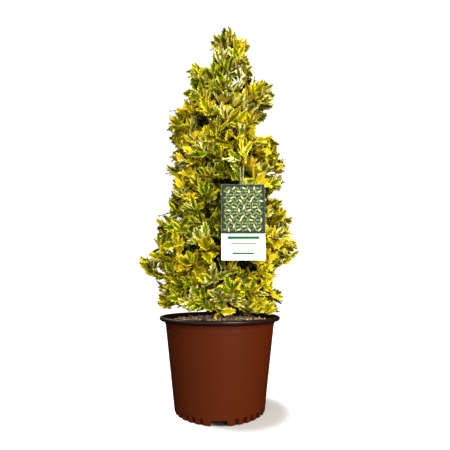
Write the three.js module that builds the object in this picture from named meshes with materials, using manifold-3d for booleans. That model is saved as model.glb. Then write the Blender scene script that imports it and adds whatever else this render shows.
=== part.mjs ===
// A holly shrub with gold-edged leaves, grown to a narrow cone in a round nursery pot.
// Millimetres, +Z up. The origin is on the ground at the pot's axis, and the front faces -Y.
import * as THREE from 'three';
import { mergeVertices } from 'three/addons/utils/BufferGeometryUtils.js';
import Module from 'manifold-3d';

const wasm = await Module();
wasm.setup();

// Clearance between neighbouring solids, and how near two corners of a mesh are taken as one
const GAP = 0.3;
const FINE_MERGE = 1e-5;
const COARSE_MERGE = 1e-3;
const ROUNDED_PLACES = 4;

// Pot: a tapered shell with a rolled rim, a collar line, arched flutes and drain openings at its foot
const POT_SIDES = 40;
const RIM_RADIUS = 140;
const RIM_TOP = 209;
const BEAD_RADIUS = 4.8;
const BEAD_START_DEG = -115;
const BEAD_END_DEG = 150;
const BEAD_STOPS = 6;
const FOOT_RADIUS = 103.3;
const WALL_SLOPE = 0.1203;
const WALL_THICKNESS = 2.4;
const COLLAR_HEIGHT = 192;
const COLLAR_STEP = 1.2;
const COLLAR_LEDGE = 0.8;
const INNER_SHOULDER_RISE = 6;
const INNER_SHOULDER_OUT = 0.6;
const GROOVE_HEIGHT = 180;
const GROOVE_DEPTH = 0.8;
const GROOVE_HALF_HEIGHT = 1;
const BASE_DISC_RADIUS = 80;
const FLOOR_THICKNESS = 3;
const CHANNEL_INNER = 84;
const CHANNEL_OUTER = 98;
const CHANNEL_HEIGHT = 12.5;
const FLUTE_WIDTH = 9;
const FLUTE_HEIGHT = 13.5;
const FLUTE_DEPTH = 3;
const FLUTE_ARCH_STEPS = 3;
const FLUTE_PITCH_DEG = 10;
const FLUTES_PER_QUARTER = 6;
const FIRST_FLUTE_DEG = 20;
const DRAIN_COUNT = 4;
const DRAIN_WIDTH = 36;
const DRAIN_TOP_WIDTH = 31;
const DRAIN_HEIGHT = 11.5;
const CUT_BELOW = 1;

// Soil: a plug that fills the pot and mounds toward a flat disc at the trunk's foot
const SOIL_SIDES = 20;
const SOIL_TOP = 205;
const SOIL_EDGE = 195;
const SOIL_FLAT_RADIUS = 30;
const SOIL_MIDDLE_RADIUS = 80;
const SOIL_MIDDLE_HEIGHT = 202;

// Trunk: flared at the soil, leaning a little to the right, whole up to its tip
const TRUNK_FOOT = new THREE.Vector3(-3, 0, SOIL_TOP + GAP);
const TRUNK_TIP = new THREE.Vector3(14, 2, 872);
const TRUNK_SWAY = new THREE.Vector3(5, -3, 0);
const TRUNK_FOOT_RADIUS = 8;
const TRUNK_TIP_RADIUS = 2.2;
const FLARE_EXTRA = 5;
const FLARE_HEIGHT = 16;
const TRUNK_SIDES = 8;
const TRUNK_STEPS = 12;
const TRUNK_CROWDING = 1.6;

// Crown: its photographed left and right edge, measured from the pot's axis, by height
const CROWN_EDGE = [
  { z: 200, left: 142, right: 145 },
  { z: 268, left: 148, right: 150 },
  { z: 288, left: 144, right: 124 },
  { z: 318, left: 184, right: 160 },
  { z: 345, left: 195, right: 182 },
  { z: 370, left: 180, right: 192 },
  { z: 400, left: 152, right: 176 },
  { z: 440, left: 162, right: 185 },
  { z: 464, left: 131, right: 161 },
  { z: 493, left: 143, right: 160 },
  { z: 512, left: 122, right: 142 },
  { z: 562, left: 138, right: 168 },
  { z: 632, left: 108, right: 150 },
  { z: 650, left: 138, right: 136 },
  { z: 680, left: 138, right: 92 },
  { z: 710, left: 140, right: 124 },
  { z: 750, left: 100, right: 142 },
  { z: 790, left: 90, right: 147 },
  { z: 822, left: 90, right: 86 },
  { z: 858, left: 66, right: 76 },
  { z: 880, left: 24, right: 68 },
  { z: 910, left: 22, right: 76 },
  { z: 940, left: 32, right: 36 },
  { z: 954, left: 4, right: 24 },
];
const CROWN_TOP = 954;

// The crown's smoother radius toward the front and the back, by height
const CROWN_BODY = [
  { z: 200, radius: 138 },
  { z: 340, radius: 168 },
  { z: 520, radius: 152 },
  { z: 720, radius: 118 },
  { z: 820, radius: 82 },
  { z: 900, radius: 46 },
  { z: 954, radius: 14 },
];
const LOWEST_OVER_SOIL = 209;
const LOWEST_OVER_RIM = 214;
const RIM_CLEAR_RADIUS = 116;

// Boughs: one for each mass but the top one, dealt round the trunk by the golden angle
const GOLDEN_ANGLE = Math.PI * (3 - Math.sqrt(5));
const BOUGH_COUNT = 20;
const LOWEST_HEART = 246;
const HIGHEST_HEART = 878;
const HEART_CROWDING = 1.5;
const HEART_SHARE = 0.62;
const BOUGH_SHARE = 0.36;
const BOUGH_RISE = 0.8;
const STEM_RISE = 0.44;
const LOWEST_ROOT = 219.3;
const BOUGH_SAG = 0.12;
const BOUGH_SIDES = 4;
const BOUGH_STEPS = 3;
const BOUGH_TO_TRUNK = 0.5;
const BOUGH_TAPER = 0.8;
const BOUGH_TIP_RADIUS = 1.8;

// Hang tag: a card on its own loop, which hangs over the bough that grows out above it
const TAG_BOUGH = 11;
const TAG_WIDTH = 86.4;
const TAG_HEIGHT = 152.4;
const TAG_THICKNESS = 0.8;
const TAG_LEFT = 4.8;
const TAG_TOP = 477.5;
const TAG_FRONT = -138;
const LOOP_MIDDLE = 45.6;
const LOOP_OUTER_WIDTH = 7.6;
const LOOP_STRAND = 1.5;
const LOOP_ARC_STEPS = 6;
const LOOP_PEG = new THREE.Vector3(LOOP_MIDDLE, TAG_FRONT, 512);
const PEG_OVERRUN = 8;
const PEG_OVER_ROOT = 62;
const TAG_HEART_RISE = new THREE.Vector3(0, 8, 26);
const WINDOW_SILL = 2;
const TAG_CLEARANCE = 5;
const TAG_CLEAR_SIDE = 3;

// Masses: each keeps to its own space round its heart, and its rosettes fan out from the trunk
const TOP_HEART = new THREE.Vector3(16, 0, 910);
const MASS_FAN = 2.6;
const MASS_MARGIN = 0.7;
const NARROWEST_REACH = 3;
const FOLIAGE_SEED = 7448;
const SEED_STEP = 101;
const GROWTHS = 8;

// Stem and twigs of a mass
const STEM_SIDES = 4;
const STEM_TIP_RADIUS = 1.5;
const STEM_LEAD = 0.45;
const TWIG_SIDES = 3;
const TWIG_STEPS = 2;
const TWIG_ROOT_RADIUS = 1.7;
const TWIG_TIP_RADIUS = 1.4;
const TWIG_LEAD = 0.3;
const TWIG_STARTS = 8;
const FIRST_TWIG_START = 2;
const TWIG_TURN_COST = 1.6;
const TWIG_PROBE_SPACING = 6;
const BUD_RADIUS = 2.7;
const LIMB_CLEARANCE = 2;
const BEAD_SPACING = 4;

// Rosettes: where shoots end, mostly in the crown's outer shell and the rest farther in
const ROSETTE_SPACING = 52;
const ROSETTE_TRIES = 420;
const OUTER_TRIES = 252;
const OUTER_SHELL = 0.94;
const INNER_SHELL = 0.55;
const ROSETTE_BAND = 190;
const ROSETTE_INSET = 6;
const ROSETTE_WALL = 10;
const TIP_ALLOWANCE = 28;
const SHOOT_FORWARD = 0.7;
const SHOOT_RISE = 0.55;
const UPRIGHT_WITHIN = 30;

// Leaves: folded blades, fewer and larger than life, each set a little back on its twig
const LEAF_LENGTH = 66;
const LEAF_WIDTH = 36;
const LEAF_THICKNESS = 1.2;
const LEAF_FOLD = 3.2;
const LEAF_DROOP = 4;
const LEAF_WAIST = 0.6;
const LEAF_SET_BACK = 3;
const LEAF_STEP_BACK = 3.5;
const LEAVES_PER_ROSETTE = 7;
const FEWEST_LEAVES = 3;
const LEAF_TRIES = 12;
const LEAF_PARTING = 0.8;
const LEAF_SPACING = 10;
const LEAF_LIMB_CLEARANCE = 5;
const LEAF_TURN_STEP = 0.5;
const FIRST_SPREAD = 0.1;
const FIRST_SPREAD_STEP = 0.15;
const LEAST_SPREAD = 0.75;
const MOST_SPREAD = 1.45;
const SMALLEST_LEAF = 0.75;
const LARGEST_LEAF = 1.05;
const SMALLEST_SHARE = 0.76;
const FULL_SIZE_REACH = 150;
const TIP_OVERRUN = 8;

// Materials
const finishes = {
  pot: { color: 0x6b2f18, roughness: 0.42, metalness: 0 },
  soil: { color: 0x7a6a5c, roughness: 0.95, metalness: 0 },
  bark: { color: 0x8d7f6c, roughness: 0.85, metalness: 0 },
  foliage: { color: 0xb39a2a, roughness: 0.45, metalness: 0 },
  tag: { color: 0xf2f2ee, roughness: 0.35, metalness: 0 },
};

const plant = new THREE.Group();

function addPart(name, geometry, finish) {
  const mesh = new THREE.Mesh(geometry, new THREE.MeshStandardMaterial(finishes[finish]));
  mesh.name = name;
  plant.add(mesh);
}

// Joining and cutting

function solidFrom(geometry, mergeDistance = FINE_MERGE) {
  const bare = geometry.clone();
  bare.deleteAttribute('normal');
  bare.deleteAttribute('uv');
  const merged = mergeVertices(bare, mergeDistance);
  const mesh = new wasm.Mesh({
    numProp: 3,
    vertProperties: new Float32Array(merged.getAttribute('position').array),
    triVerts: new Uint32Array(merged.getIndex().array),
  });
  return new wasm.Manifold(mesh);
}

function geometryFrom(solid) {
  const mesh = solid.getMesh();
  const geometry = new THREE.BufferGeometry();
  geometry.setAttribute('position', new THREE.BufferAttribute(new Float32Array(mesh.vertProperties), 3));
  geometry.setIndex(new THREE.BufferAttribute(new Uint32Array(mesh.triVerts), 1));
  geometry.computeVertexNormals();
  return geometry;
}

// The largest body of a solid, without loose scraps and with sealed hollows filled. It is taken twice,
// because merging nearly equal corners can pinch off another scrap.
function oneBody(solid) {
  let body = solid;
  for (let pass = 0; pass < 2; pass += 1) {
    const pieces = solidFrom(geometryFrom(body), COARSE_MERGE).decompose();
    body = pieces.reduce((largest, piece) => (piece.volume() > largest.volume() ? piece : largest));
  }
  return body;
}

// Whether each edge still has one face on either side once the corners are rounded
function closesCleanly(geometry) {
  const position = geometry.getAttribute('position');
  const corners = [];
  for (let i = 0; i < position.count; i += 1) {
    const place = [position.getX(i), position.getY(i), position.getZ(i)];
    corners.push(place.map((value) => value.toFixed(ROUNDED_PLACES)).join());
  }
  const index = geometry.getIndex().array;
  const edges = new Set();
  for (let i = 0; i < index.length; i += 3) {
    const face = [corners[index[i]], corners[index[i + 1]], corners[index[i + 2]]];
    if (new Set(face).size < 3) continue;
    for (let k = 0; k < 3; k += 1) {
      const edge = `${face[k]}|${face[(k + 1) % 3]}`;
      if (edges.has(edge)) return false;
      edges.add(edge);
    }
  }
  return [...edges].every((edge) => edges.has(edge.split('|').reverse().join('|')));
}

// A round limb: a closed cylinder of unit radius bent along a curve, with a radius for each step
function limbGeometry(curve, radiusAt, sides, steps) {
  const geometry = new THREE.CylinderGeometry(1, 1, 1, sides, steps);
  const frames = curve.computeFrenetFrames(steps, false);
  const position = geometry.getAttribute('position');
  const point = new THREE.Vector3();
  for (let i = 0; i < position.count; i += 1) {
    const t = position.getY(i) + 0.5;
    const step = Math.round(t * steps);
    const radius = radiusAt(t);
    point.copy(curve.getPointAt(t));
    point.addScaledVector(frames.normals[step], position.getX(i) * radius);
    point.addScaledVector(frames.binormals[step], -position.getZ(i) * radius);
    position.setXYZ(i, point.x, point.y, point.z);
  }
  return geometry;
}

// Small sums

const lerp = THREE.MathUtils.lerp;

function seededRandom(seed) {
  let state = seed >>> 0;
  return () => {
    state = (state + 0x6d2b79f5) >>> 0;
    let mixed = state;
    mixed = Math.imul(mixed ^ (mixed >>> 15), mixed | 1);
    mixed ^= mixed + Math.imul(mixed ^ (mixed >>> 7), mixed | 61);
    return ((mixed ^ (mixed >>> 14)) >>> 0) / 4294967296;
  };
}

function outward(azimuth, elevation = 0) {
  const level = Math.cos(elevation);
  return new THREE.Vector3(level * Math.cos(azimuth), level * Math.sin(azimuth), Math.sin(elevation));
}

// Pot

const wallRadius = (height) => FOOT_RADIUS + WALL_SLOPE * height;

function beadProfile() {
  const centreRadius = RIM_RADIUS - BEAD_RADIUS;
  const centreHeight = RIM_TOP - BEAD_RADIUS;
  const points = [];
  for (let i = 0; i <= BEAD_STOPS; i += 1) {
    const angle = THREE.MathUtils.degToRad(lerp(BEAD_START_DEG, BEAD_END_DEG, i / BEAD_STOPS));
    const across = BEAD_RADIUS * Math.cos(angle);
    const up = BEAD_RADIUS * Math.sin(angle);
    points.push([centreRadius + across, centreHeight + up]);
  }
  return points;
}

function potProfile() {
  const floorInside = CHANNEL_HEIGHT + FLOOR_THICKNESS;
  const innerWall = (height) => wallRadius(height) - WALL_THICKNESS;
  const grooveLow = GROOVE_HEIGHT - GROOVE_HALF_HEIGHT;
  const grooveHigh = GROOVE_HEIGHT + GROOVE_HALF_HEIGHT;
  return [
    [0, 0],
    [BASE_DISC_RADIUS, 0],
    [CHANNEL_INNER, CHANNEL_HEIGHT],
    [CHANNEL_OUTER, CHANNEL_HEIGHT],
    [CHANNEL_OUTER, 0],
    [FOOT_RADIUS, 0],
    [wallRadius(grooveLow), grooveLow],
    [wallRadius(GROOVE_HEIGHT) - GROOVE_DEPTH, GROOVE_HEIGHT],
    [wallRadius(grooveHigh), grooveHigh],
    [wallRadius(COLLAR_HEIGHT), COLLAR_HEIGHT],
    [wallRadius(COLLAR_HEIGHT) + COLLAR_STEP, COLLAR_HEIGHT + COLLAR_LEDGE],
    ...beadProfile(),
    [innerWall(COLLAR_HEIGHT) + INNER_SHOULDER_OUT, COLLAR_HEIGHT + INNER_SHOULDER_RISE],
    [innerWall(floorInside), floorInside],
    [BASE_DISC_RADIUS, floorInside],
    [BASE_DISC_RADIUS - FLOOR_THICKNESS, FLOOR_THICKNESS],
    [0, FLOOR_THICKNESS],
  ];
}

function latheFrom(profile, sides) {
  const geometry = new THREE.LatheGeometry(profile.map(([r, z]) => new THREE.Vector2(r, z)), sides);
  geometry.rotateX(Math.PI / 2);
  return geometry;
}

// An upright outline pushed through the wall from outside, at one bearing round the pot
function wallCutter(outline, innerRadius, bearing) {
  const options = { depth: RIM_RADIUS - innerRadius, bevelEnabled: false };
  const geometry = new THREE.ExtrudeGeometry(outline, options);
  geometry.rotateX(Math.PI / 2);
  geometry.translate(0, -innerRadius, 0);
  geometry.rotateZ(bearing);
  return solidFrom(geometry);
}

function fluteOutline() {
  const half = FLUTE_WIDTH / 2;
  const outline = new THREE.Shape();
  outline.moveTo(-half, -CUT_BELOW);
  outline.lineTo(half, -CUT_BELOW);
  outline.lineTo(half, FLUTE_HEIGHT - half);
  for (let i = 1; i <= FLUTE_ARCH_STEPS; i += 1) {
    const angle = (Math.PI * i) / FLUTE_ARCH_STEPS;
    outline.lineTo(half * Math.cos(angle), FLUTE_HEIGHT - half + half * Math.sin(angle));
  }
  outline.closePath();
  return outline;
}

function drainOutline() {
  const outline = new THREE.Shape();
  outline.moveTo(-DRAIN_WIDTH / 2, -CUT_BELOW);
  outline.lineTo(DRAIN_WIDTH / 2, -CUT_BELOW);
  outline.lineTo(DRAIN_TOP_WIDTH / 2, DRAIN_HEIGHT);
  outline.lineTo(-DRAIN_TOP_WIDTH / 2, DRAIN_HEIGHT);
  outline.closePath();
  return outline;
}

function potGeometry() {
  let pot = solidFrom(latheFrom(potProfile(), POT_SIDES));
  for (let quarter = 0; quarter < DRAIN_COUNT; quarter += 1) {
    const quarterBearing = quarter * (Math.PI / 2);
    pot = pot.subtract(wallCutter(drainOutline(), CHANNEL_OUTER - FLUTE_DEPTH, quarterBearing));
    for (let i = 0; i < FLUTES_PER_QUARTER; i += 1) {
      const bearing = quarterBearing + THREE.MathUtils.degToRad(FIRST_FLUTE_DEG + i * FLUTE_PITCH_DEG);
      pot = pot.subtract(wallCutter(fluteOutline(), FOOT_RADIUS - FLUTE_DEPTH, bearing));
    }
  }
  return geometryFrom(pot);
}

// Soil

function soilGeometry() {
  const floorInside = CHANNEL_HEIGHT + FLOOR_THICKNESS + GAP;
  const inset = WALL_THICKNESS + 2 * GAP;
  const profile = [
    [0, FLOOR_THICKNESS + GAP],
    [BASE_DISC_RADIUS - FLOOR_THICKNESS - 2 * GAP, FLOOR_THICKNESS + GAP],
    [BASE_DISC_RADIUS - 2 * GAP, floorInside],
    [wallRadius(floorInside) - inset, floorInside],
    [wallRadius(SOIL_EDGE) - inset, SOIL_EDGE],
    [SOIL_MIDDLE_RADIUS, SOIL_MIDDLE_HEIGHT],
    [SOIL_FLAT_RADIUS, SOIL_TOP],
    [0, SOIL_TOP],
  ];
  return latheFrom(profile, SOIL_SIDES);
}

// Trunk

function trunkAxis(height) {
  const t = (height - TRUNK_FOOT.z) / (TRUNK_TIP.z - TRUNK_FOOT.z);
  const point = new THREE.Vector3().lerpVectors(TRUNK_FOOT, TRUNK_TIP, t);
  const swing = Math.sin(THREE.MathUtils.clamp(t, 0, 1) * Math.PI * 2);
  return point.addScaledVector(TRUNK_SWAY, swing);
}

function trunkRadius(height) {
  const t = THREE.MathUtils.clamp((height - TRUNK_FOOT.z) / (TRUNK_TIP.z - TRUNK_FOOT.z), 0, 1);
  const flare = FLARE_EXTRA * Math.exp(-(height - TRUNK_FOOT.z) / FLARE_HEIGHT);
  return lerp(TRUNK_FOOT_RADIUS, TRUNK_TIP_RADIUS, t) + flare;
}

function trunkGeometry(extra) {
  const geometry = new THREE.CylinderGeometry(1, 1, 1, TRUNK_SIDES, TRUNK_STEPS);
  geometry.rotateX(Math.PI / 2);
  const position = geometry.getAttribute('position');
  for (let i = 0; i < position.count; i += 1) {
    const share = Math.pow(position.getZ(i) + 0.5, TRUNK_CROWDING);
    const height = lerp(TRUNK_FOOT.z, TRUNK_TIP.z, share);
    const centre = trunkAxis(height);
    const radius = trunkRadius(height) + extra;
    position.setXYZ(i, centre.x + position.getX(i) * radius, centre.y + position.getY(i) * radius, height);
  }
  return geometry;
}

// Crown outline

// The value of one column of a table by height, between its rows
function readRows(rows, column, height) {
  const last = rows.length - 1;
  const above = rows.findIndex((row) => row.z > height);
  if (above === 0) return rows[0][column];
  if (above < 0) return rows[last][column];
  const low = rows[above - 1];
  const high = rows[above];
  return lerp(low[column], high[column], (height - low.z) / (high.z - low.z));
}

// How far the crown reaches from the trunk's axis, at one height and bearing
function crownReach(height, azimuth) {
  const lean = trunkAxis(height).x;
  const side = Math.cos(azimuth) > 0
    ? readRows(CROWN_EDGE, 'right', height) - lean
    : readRows(CROWN_EDGE, 'left', height) + lean;
  return lerp(readRows(CROWN_BODY, 'radius', height), side, Math.cos(azimuth) ** 2);
}

// Bough plan: where each bough leaves the trunk, where it ends, and the heart of its mass

function atShare(height, azimuth, share) {
  return trunkAxis(height).addScaledVector(outward(azimuth), crownReach(height, azimuth) * share);
}

function planBough(index) {
  const share = (index + 0.5) / BOUGH_COUNT;
  const height = lerp(LOWEST_HEART, HIGHEST_HEART, Math.pow(share, HEART_CROWDING));
  const pegAzimuth = Math.atan2(LOOP_PEG.y, LOOP_PEG.x);
  const azimuth = pegAzimuth + (index - TAG_BOUGH) * GOLDEN_ANGLE;
  const reach = crownReach(height, azimuth);
  const heart = atShare(height, azimuth, HEART_SHARE);
  const tip = atShare(height, azimuth, BOUGH_SHARE);
  tip.z -= STEM_RISE * reach * (HEART_SHARE - BOUGH_SHARE);
  const rootHeight = Math.max(LOWEST_ROOT, tip.z - BOUGH_RISE * reach * BOUGH_SHARE);
  const label = String(index + 1).padStart(2, '0');
  return { index, label, azimuth, heart, tip, rootHeight };
}

// The tag's bough runs through the loop and a little past it before its mass begins
function planTagBough() {
  const plan = planBough(TAG_BOUGH);
  const rootHeight = LOOP_PEG.z - PEG_OVER_ROOT;
  const along = new THREE.Vector3().subVectors(LOOP_PEG, trunkAxis(rootHeight)).normalize();
  const tip = LOOP_PEG.clone().addScaledVector(along, PEG_OVERRUN);
  const heart = tip.clone().add(TAG_HEART_RISE);
  return { ...plan, rootHeight, tip, heart };
}

const plans = [];
for (let i = 0; i < BOUGH_COUNT; i += 1) {
  plans.push(i === TAG_BOUGH ? planTagBough() : planBough(i));
}

function boughCurve(plan) {
  const root = trunkAxis(plan.rootHeight);
  const bend = new THREE.Vector3().lerpVectors(root, plan.tip, 0.5);
  if (plan.index !== TAG_BOUGH) {
    bend.z -= BOUGH_SAG * root.distanceTo(plan.tip);
  }
  return new THREE.QuadraticBezierCurve3(root, bend, plan.tip);
}

function boughRadius(plan, t) {
  const rootRadius = Math.max(BOUGH_TIP_RADIUS, trunkRadius(plan.rootHeight) * BOUGH_TO_TRUNK);
  return lerp(rootRadius, BOUGH_TIP_RADIUS, Math.pow(t, BOUGH_TAPER));
}

function boughGeometry(plan) {
  const bough = limbGeometry(boughCurve(plan), (t) => boughRadius(plan, t), BOUGH_SIDES, BOUGH_STEPS);
  return geometryFrom(solidFrom(bough).subtract(solidFrom(trunkGeometry(GAP))));
}

// Masses: each has a heart, and keeps to the points that lie nearer to it than to any other heart

function boughMass(plan) {
  return {
    name: `mass_${plan.label}`,
    foot: plan.tip,
    along: boughCurve(plan).getTangent(1),
    heart: plan.heart,
    azimuth: plan.azimuth,
    fan: MASS_FAN,
  };
}

const topMass = {
  name: 'mass_top',
  foot: TRUNK_TIP,
  along: outward(0, Math.PI / 2),
  heart: TOP_HEART,
  azimuth: 0,
  fan: 2 * Math.PI,
};

const masses = [...plans.map(boughMass), topMass];

function stemCurve(mass) {
  const foot = mass.foot.clone().addScaledVector(mass.along, GAP);
  const bend = foot.clone().addScaledVector(mass.along, STEM_LEAD * foot.distanceTo(mass.heart));
  return new THREE.QuadraticBezierCurve3(foot, bend, mass.heart);
}

// Limbs as rows of beads, for keeping leaves and twigs clear of them

function limbBeads(curve, radiusAt, owner) {
  const count = Math.ceil(curve.getLength() / BEAD_SPACING);
  const beads = [];
  for (let i = 0; i <= count; i += 1) {
    beads.push({ centre: curve.getPointAt(i / count), radius: radiusAt(i / count), owner });
  }
  return beads;
}

function trunkBeads() {
  const beads = [];
  for (let height = TRUNK_FOOT.z; height <= TRUNK_TIP.z; height += BEAD_SPACING) {
    beads.push({ centre: trunkAxis(height), radius: trunkRadius(height) });
  }
  return beads;
}

const limbs = trunkBeads();
for (const plan of plans) limbs.push(...limbBeads(boughCurve(plan), (t) => boughRadius(plan, t)));
for (const mass of masses) limbs.push(...limbBeads(stemCurve(mass), () => BOUGH_TIP_RADIUS, mass));

function clearOfLimbs(point, mass, clearance) {
  return limbs.every((bead) => (
    bead.owner === mass || bead.centre.distanceTo(point) > bead.radius + clearance
  ));
}

function inOwnCell(point, mass, margin) {
  const own = point.distanceToSquared(mass.heart);
  return masses.every((other) => {
    if (other === mass) return true;
    const between = mass.heart.distanceTo(other.heart);
    return point.distanceToSquared(other.heart) - own >= 2 * between * margin;
  });
}

function clearOfTag(point) {
  const besideCard = point.x < TAG_LEFT - TAG_CLEARANCE || point.x > TAG_LEFT + TAG_WIDTH + TAG_CLEARANCE;
  const overOrUnder = point.z > TAG_TOP + TAG_CLEAR_SIDE || point.z < TAG_TOP - TAG_HEIGHT - TAG_CLEARANCE;
  const behind = point.y > TAG_FRONT + TAG_CLEAR_SIDE;
  const besideLoop = Math.abs(point.x - LOOP_MIDDLE) > LOOP_OUTER_WIDTH / 2 + TAG_CLEAR_SIDE;
  const overLoop = point.z > LOOP_PEG.z + TAG_CLEARANCE || point.z < TAG_TOP;
  return (besideCard || overOrUnder || behind) && (besideLoop || overLoop || behind);
}

function inCrown(point, allowance) {
  if (point.z > CROWN_TOP - allowance) return false;
  const axis = trunkAxis(point.z);
  const away = Math.hypot(point.x - axis.x, point.y - axis.y);
  const azimuth = Math.atan2(point.y - axis.y, point.x - axis.x);
  if (away > Math.max(NARROWEST_REACH, crownReach(point.z, azimuth) - allowance)) return false;
  const overRim = Math.hypot(point.x, point.y) > RIM_CLEAR_RADIUS;
  return point.z > (overRim ? LOWEST_OVER_RIM : LOWEST_OVER_SOIL);
}

function inOwnSpace(point, mass, allowance = 0, margin = MASS_MARGIN) {
  return inCrown(point, allowance) && clearOfTag(point) && inOwnCell(point, mass, margin);
}

// A leaf: a thin folded blade of eight faces, its root on the twig's axis
function leafCorner(leaf, x, y, z) {
  const along = LEAF_WAIST + y * (y > 0 ? 1 - LEAF_WAIST : LEAF_WAIST);
  const lift = Math.abs(x) * LEAF_FOLD + z * LEAF_THICKNESS / 2 - Math.max(0, y) * LEAF_DROOP;
  return leaf.root.clone()
    .addScaledVector(leaf.along, along * LEAF_LENGTH * leaf.size)
    .addScaledVector(leaf.side, x * leaf.size * LEAF_WIDTH / 2)
    .addScaledVector(leaf.face, lift);
}

function leafGeometry(leaf) {
  const geometry = new THREE.OctahedronGeometry(1);
  const position = geometry.getAttribute('position');
  for (let i = 0; i < position.count; i += 1) {
    const corner = leafCorner(leaf, position.getX(i), position.getY(i), position.getZ(i));
    position.setXYZ(i, corner.x, corner.y, corner.z);
  }
  return geometry;
}

function leafProbes(leaf) {
  const corners = [[0, 0], [0, 1], [1, 0], [-1, 0]];
  const edgeMiddles = [[0, 0.5], [0.5, 0.5], [-0.5, 0.5], [0.5, -0.4], [-0.5, -0.4]];
  return [...corners, ...edgeMiddles].map(([x, y]) => leafCorner(leaf, x, y, 0));
}

function makeLeaf(root, shoot, turn, spread, size) {
  const helper = Math.abs(shoot.z) > 0.9 ? new THREE.Vector3(1, 0, 0) : new THREE.Vector3(0, 0, 1);
  const first = new THREE.Vector3().crossVectors(shoot, helper).normalize();
  const second = new THREE.Vector3().crossVectors(shoot, first);
  const ray = first.multiplyScalar(Math.cos(turn)).addScaledVector(second, Math.sin(turn));
  const along = shoot.clone().multiplyScalar(Math.cos(spread)).addScaledVector(ray, Math.sin(spread));
  const side = new THREE.Vector3().crossVectors(along, shoot).normalize();
  const face = new THREE.Vector3().crossVectors(side, along);
  return { root, along, side, face, size };
}

// Twigs: each runs from the mass's stem to one rosette

function twigCurve(stem, end) {
  let best = null;
  for (let i = FIRST_TWIG_START; i <= TWIG_STARTS; i += 1) {
    const from = stem.getPoint(i / TWIG_STARTS);
    const tangent = stem.getTangent(i / TWIG_STARTS);
    const lead = new THREE.Vector3().subVectors(end, from);
    const forward = lead.clone().normalize().dot(tangent);
    const cost = lead.length() * (TWIG_TURN_COST - forward);
    if (best === null || cost < best.cost) best = { cost, from, tangent };
  }
  const bend = best.from.clone().addScaledVector(best.tangent, TWIG_LEAD * best.from.distanceTo(end));
  return new THREE.QuadraticBezierCurve3(best.from, bend, end);
}

function twigIsClear(curve, mass) {
  const count = Math.ceil(curve.getLength() / TWIG_PROBE_SPACING) + 1;
  for (let i = 0; i <= count; i += 1) {
    const point = curve.getPoint(i / count);
    if (!inOwnCell(point, mass, BUD_RADIUS) || !clearOfTag(point)) return false;
    if (!clearOfLimbs(point, mass, BUD_RADIUS + LIMB_CLEARANCE)) return false;
  }
  return true;
}

// Shoots and leaves are a little smaller where the crown is narrow
function sizeShare(point) {
  const reach = readRows(CROWN_BODY, 'radius', point.z);
  return lerp(SMALLEST_SHARE, 1, Math.min(1, reach / FULL_SIZE_REACH));
}

function pickRosette(mass, random, inner) {
  const azimuth = mass.azimuth + (random() - 0.5) * mass.fan;
  const height = mass.heart.z + (random() - 0.5) * ROSETTE_BAND;
  const share = lerp(inner, 1, Math.sqrt(random()));
  const reach = Math.max(NARROWEST_REACH, crownReach(height, azimuth) - TIP_ALLOWANCE) * share;
  return trunkAxis(height).addScaledVector(outward(azimuth), reach);
}

function findRosettes(mass, stem, random) {
  const found = [{ point: stem.getPoint(1), curve: null }];
  for (let i = 0; i < ROSETTE_TRIES; i += 1) {
    const point = pickRosette(mass, random, i < OUTER_TRIES ? OUTER_SHELL : INNER_SHELL);
    const spacing = ROSETTE_SPACING * sizeShare(point);
    const apart = found.every((other) => other.point.distanceTo(point) > spacing);
    if (!apart || !inOwnSpace(point, mass, ROSETTE_INSET, ROSETTE_WALL)) continue;
    const curve = twigCurve(stem, point);
    if (twigIsClear(curve, mass)) found.push({ point, curve });
  }
  return found;
}

function shootDirection(point, tangent) {
  const axis = trunkAxis(point.z);
  const out = new THREE.Vector3(point.x - axis.x, point.y - axis.y, 0);
  out.divideScalar(Math.max(out.length(), UPRIGHT_WITHIN));
  out.z = SHOOT_RISE;
  return out.addScaledVector(tangent, SHOOT_FORWARD).normalize();
}

function leafFits(leaf, mass, placed, fellows) {
  if (fellows.some((other) => other.along.angleTo(leaf.along) < LEAF_PARTING)) return false;
  return leafProbes(leaf).every((probe) => (
    inOwnSpace(probe, mass, -TIP_OVERRUN)
    && clearOfLimbs(probe, mass, LEAF_LIMB_CLEARANCE)
    && placed.every((other) => other.distanceTo(probe) > LEAF_SPACING)
  ));
}

// A whorl of leaves down a shoot's last stretch: each one is turned and tipped until it fits
function rosetteLeaves(curve, mass, placed, random) {
  const end = curve.getPointAt(1);
  const stretch = new THREE.Vector3().subVectors(curve.getPointAt(1 - 1 / TWIG_STEPS), end);
  const shoot = shootDirection(end, stretch.clone().normalize().negate());
  const start = random() * Math.PI * 2;
  const leaves = [];
  for (let i = 0; i < LEAVES_PER_ROSETTE; i += 1) {
    const back = Math.min(stretch.length(), LEAF_SET_BACK + i * LEAF_STEP_BACK);
    const root = end.clone().addScaledVector(stretch, back / stretch.length());
    for (let attempt = 0; attempt < LEAF_TRIES; attempt += 1) {
      const turn = start + i * GOLDEN_ANGLE + (random() - 0.5) * attempt * LEAF_TURN_STEP;
      const firstSpread = FIRST_SPREAD + FIRST_SPREAD_STEP * attempt;
      const spread = i === 0 ? firstSpread : lerp(LEAST_SPREAD, MOST_SPREAD, random());
      const size = sizeShare(end) * lerp(SMALLEST_LEAF, LARGEST_LEAF, random());
      const leaf = makeLeaf(root, shoot, turn, spread, size);
      if (leafFits(leaf, mass, placed, leaves)) {
        leaves.push(leaf);
        break;
      }
    }
  }
  return leaves;
}

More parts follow.
